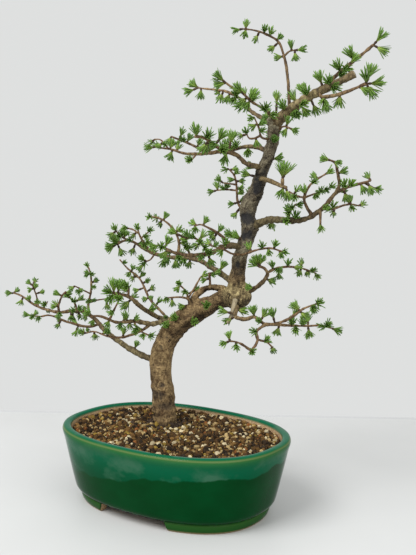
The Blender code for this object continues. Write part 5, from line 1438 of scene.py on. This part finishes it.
def glaze_material():
    """Green glaze: deep green below a wavy slanting line, a painted reflection above it, olive where it
    breaks.

    The line is a height that leans along the pot and that broad noise pushes up and down. Above it
    the painted reflection grows paler towards the rim and holds painted misty smears of reflection.
    """
    look = Look("green_glaze")
    axes = look.axes()
    # The lower edge of the painted reflection.
    lean = look.maths("MULTIPLY", axes["X"], REFLECTION_LINE_LEAN)
    waves = look.maths("MULTIPLY", look.noise(30.0, detail=6.0, stretch=[1.0, 1.0, 0.05]), REFLECTION_LINE_WAVES * MM)
    above = look.maths("SUBTRACT", axes["Z"], look.maths("ADD", lean, waves))
    line = REFLECTION_LINE_HEIGHT - REFLECTION_LINE_WAVES / 2
    reflected_above = look.stepped(above, (line - REFLECTION_LINE_SOFTNESS) * MM, (line + REFLECTION_LINE_SOFTNESS) * MM)
    cloud = look.noise(40.0, detail=5.0, stretch=[1.0, 1.0, 1.4])
    lower = look.ramp(cloud, (0.3, (0.0, 0.031, 0.006)), (0.7, (0.0, 0.041, 0.009)))
    # The painted reflection above the line, paler towards the rim.
    rise = look.stepped(axes["Z"], REFLECTION_PALER_FROM * MM, POT_HEIGHT * MM)
    upper = look.ramp(rise, (0.0, (0.0, 0.045, 0.015)), (0.5, (0.0, 0.068, 0.027)),
                      (1.0, (0.002, 0.092, 0.043)))
    # Painted misty smears of reflection in the upper glaze.
    reflection_smears = look.ramp(cloud, (0.50, (0.0, 0.0, 0.0)), (0.68, (0.75, 0.75, 0.75)))
    body = look.mixed(reflected_above, lower, look.mixed(reflection_smears, upper, REFLECTION_SMEAR_COLOUR))
    thin = look.attribute("tone")
    breaks = look.ramp(thin, (0.0, (0.002, 0.055, 0.012)), (0.45, (0.030, 0.098, 0.016)),
                       (0.75, (0.035, 0.10, 0.02)), (1.0, (0.085, 0.135, 0.045)))
    clay = look.ramp(look.noise(700.0), (0.35, (0.30, 0.19, 0.10)), (0.65, (0.47, 0.33, 0.19)))
    bare = look.attribute("shade")
    look.bump(look.noise(22.0, detail=2.0), depth=0.6, strength=0.25)
    colour = look.mixed(bare, look.mixed(thin, body, breaks), clay)
    return look.finished(colour, roughness=look.scaled(bare, 0.09, 0.8), shine=0.04)


def stone_material():
    """Granules: each stone's own colour, mottled and pitted."""
    look = Look("soil_granules")
    fine = look.noise(GRANULE_GRAIN)
    mottle = look.ramp(fine, (0.3, (0.55, 0.5, 0.45)), (0.6, (1.0, 1.0, 1.0)))
    look.bump(fine, depth=0.5)
    colour = look.tinted(look.attribute("grain", "Color"), mottle)
    return look.finished(colour, roughness=0.9, shine=0.2)


def plain_material(name, colour, roughness):
    """A quiet material with a little unevenness in its colour."""
    look = Look(name)
    dim = tuple(part * DIM_SHARE for part in colour)
    return look.finished(look.ramp(look.noise(8.0, detail=2.0), (0.3, dim), (0.7, colour)), roughness)


# Building


def build_pot():
    """The glazed pot with its drain holes, and the screens over them."""
    pot = new_piece("pot_glazed", pot_shape(), glaze_material())
    drill(pot)
    finish_piece(pot, "pot")
    for name in ("drain_screen_left", "drain_screen_right"):
        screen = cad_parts[name]
        screen.data.materials.clear()
        screen.data.materials.append(plain_material(name + "_plastic", SCREEN_COLOUR, roughness=0.55))


def build_soil():
    """The ground and its granules."""
    stone = stone_material()
    add_piece("soil_ground", soil_shape(), stone, "soil")
    add_piece("soil_grains", granules(GRANULE_SEED), stone, "soil", smooth=False)


def build_trunk(bark, twig, green, dead):
    """The trunk: its bark as one skin over both runs, burls and stubs, the dead stub and the tufts."""
    runs = []
    for route in (LOWER_TRUNK, UPPER_TRUNK):
        samples, at = evenly(route, round(route_length(route) / TRUNK_STEP))
        runs.append(tube(tree_to_world(samples[:, :3]), samples[:, 3], TRUNK_SIDES, np.zeros((len(at), 2))))
    runs += [ball(middle, half_sizes) for middle, half_sizes in BURLS]
    for name, (start, end, route) in STUBS.items():
        stub = tube(tree_to_world(evenly(route, STUB_RINGS)[0]), np.linspace(start, end, STUB_RINGS),
                    STUB_SIDES, np.zeros((STUB_RINGS, 2)), STUB_LUMPS)
        if name == "dead_stub":
            add_piece("dead_stub", stub, dead, "trunk")
        else:
            runs.append(stub)
    add_piece("trunk_bark", trunk_skin(runs), bark, "trunk")
    run = np.vstack([evenly(route, 150)[0] for route in (LOWER_TRUNK, UPPER_TRUNK)])
    places = [bark_tuft(run, target, 1) for target in TUFTS_BEHIND_TRUNK]
    for number, target in enumerate(TRUNK_TUFTS):
        away = np.linalg.norm(target - run[:, [0, 2]], axis=1)
        if away.min() < run[away.argmin(), 3]:
            places.append(bark_tuft(run, target, -1))
        else:
            places.append(tuft_place(run[:, :3], run[:, 3], target, LEANS[number % len(LEANS)], TRUNK_NEEDLE))
    places = np.array(places)
    add_piece("trunk_needles", needles(places, TRUNK_NEEDLE_SEED), green, "trunk")
    add_piece("trunk_spurs", joined(spurs(places)), twig, "trunk")


def build_limb(number, name, twigs, twig, green, dead):
    """A limb: its wood, its sawn face if it has one, and its needles. The number seeds its draws."""
    limbs = branch_limbs(twigs)
    pitch = FILL_PITCH.get(name, FILL_PITCH_ELSEWHERE)
    places = np.array(placed_tufts(twigs, limbs) + fill_tufts(limbs, twigs[0][2], pitch, number))
    look = twig_material(name + "_twig_bark", LIMB_LIGHT[name]) if name in LIMB_LIGHT else twig
    add_piece(name + "_wood", joined(twig_wood(limbs) + spurs(places)), look, name)
    points, radii = limbs[0]
    if radii[-1] > SAWN_RADIUS:
        add_piece(name + "_sawn_face", sawn_face(points, radii[-1] * SAWN_SHARE), dead, name)
    add_piece(name + "_needles", needles(places, LIMB_NEEDLE_SEED + number), green, name)


def build_tree():
    """The trunk, then each limb."""
    twig = twig_material()
    green = needle_material()
    dead = dead_wood_material()
    build_trunk(bark_material(), twig, green, dead)
    for number, (name, twigs) in enumerate(BRANCHES.items()):
        build_limb(number, name, twigs, twig, green, dead)


def lay_sheet(name, near, far, height, material):
    """A flat rectangle of the surroundings between two depths, as wide as the table."""
    corners = [(-TABLE_REACH, near, height), (TABLE_REACH, near, height), (TABLE_REACH, far, height),
               (-TABLE_REACH, far, height)]
    sheet = new_piece(name, (tree_to_world(corners), np.array([[0, 1, 2, 3]]), NO_TRIANGLES,
                             np.zeros((4, 2))), material)


def build_stage():
    """A pale table that ends a little behind the pot, a darker strip of painted shade along its back edge,
    soft light and the camera.
    """
    lay_sheet("table", -TABLE_REACH, TABLE_BACK, 0.0,
              plain_material("table_top", TABLE_COLOUR, roughness=0.5))
    # The strip of painted shade along the table's back edge.
    lay_sheet("table_edge_shade", TABLE_BACK, TABLE_BACK + TABLE_EDGE, TABLE_EDGE_HEIGHT,
              plain_material("table_edge_shade", TABLE_EDGE_SHADE_COLOUR, roughness=0.8))
    world = bpy.data.worlds.new("studio")
    world.use_nodes = True
    background = world.node_tree.nodes["Background"]
    background.inputs["Color"].default_value = (*WALL_COLOUR, 1)
    background.inputs["Strength"].default_value = 1.0
    bpy.context.scene.world = world
    bpy.context.scene.view_settings.view_transform = "Standard"
    for name, place, size, power in LIGHTS:
        lamp = bpy.data.lights.new(name, "AREA")
        lamp.shape = "RECTANGLE"
        lamp.size, lamp.size_y = (part * MM for part in size)
        lamp.energy = power
        start, end = (Vector(tree_to_world(spot) * MM) for spot in (place, LIGHT_TARGET))
        aim = (start - end).to_track_quat("Z", "Y").to_matrix().to_4x4()
        add_object(name, lamp).matrix_world = Matrix.Translation(start) @ aim
    camera = bpy.data.cameras.new("camera")
    camera.lens = CAMERA_LENS
    camera.sensor_width = CAMERA_SENSOR
    camera.clip_start = CAMERA_NEAR * MM
    camera.clip_end = CAMERA_FAR * MM
    holder = add_object("camera", camera)
    holder.matrix_world = (Matrix.Translation(tree_to_world(CAMERA_PLACE) * MM)
                           @ Matrix.Rotation(TREE_TURN, 4, "Z")
                           @ Matrix.Rotation(math.pi / 2 - CAMERA_PITCH, 4, "X")
                           @ Matrix.Rotation(CAMERA_ROLL, 4, "Z"))
    bpy.context.scene.camera = holder


build_stage()
build_pot()
build_soil()
build_tree()
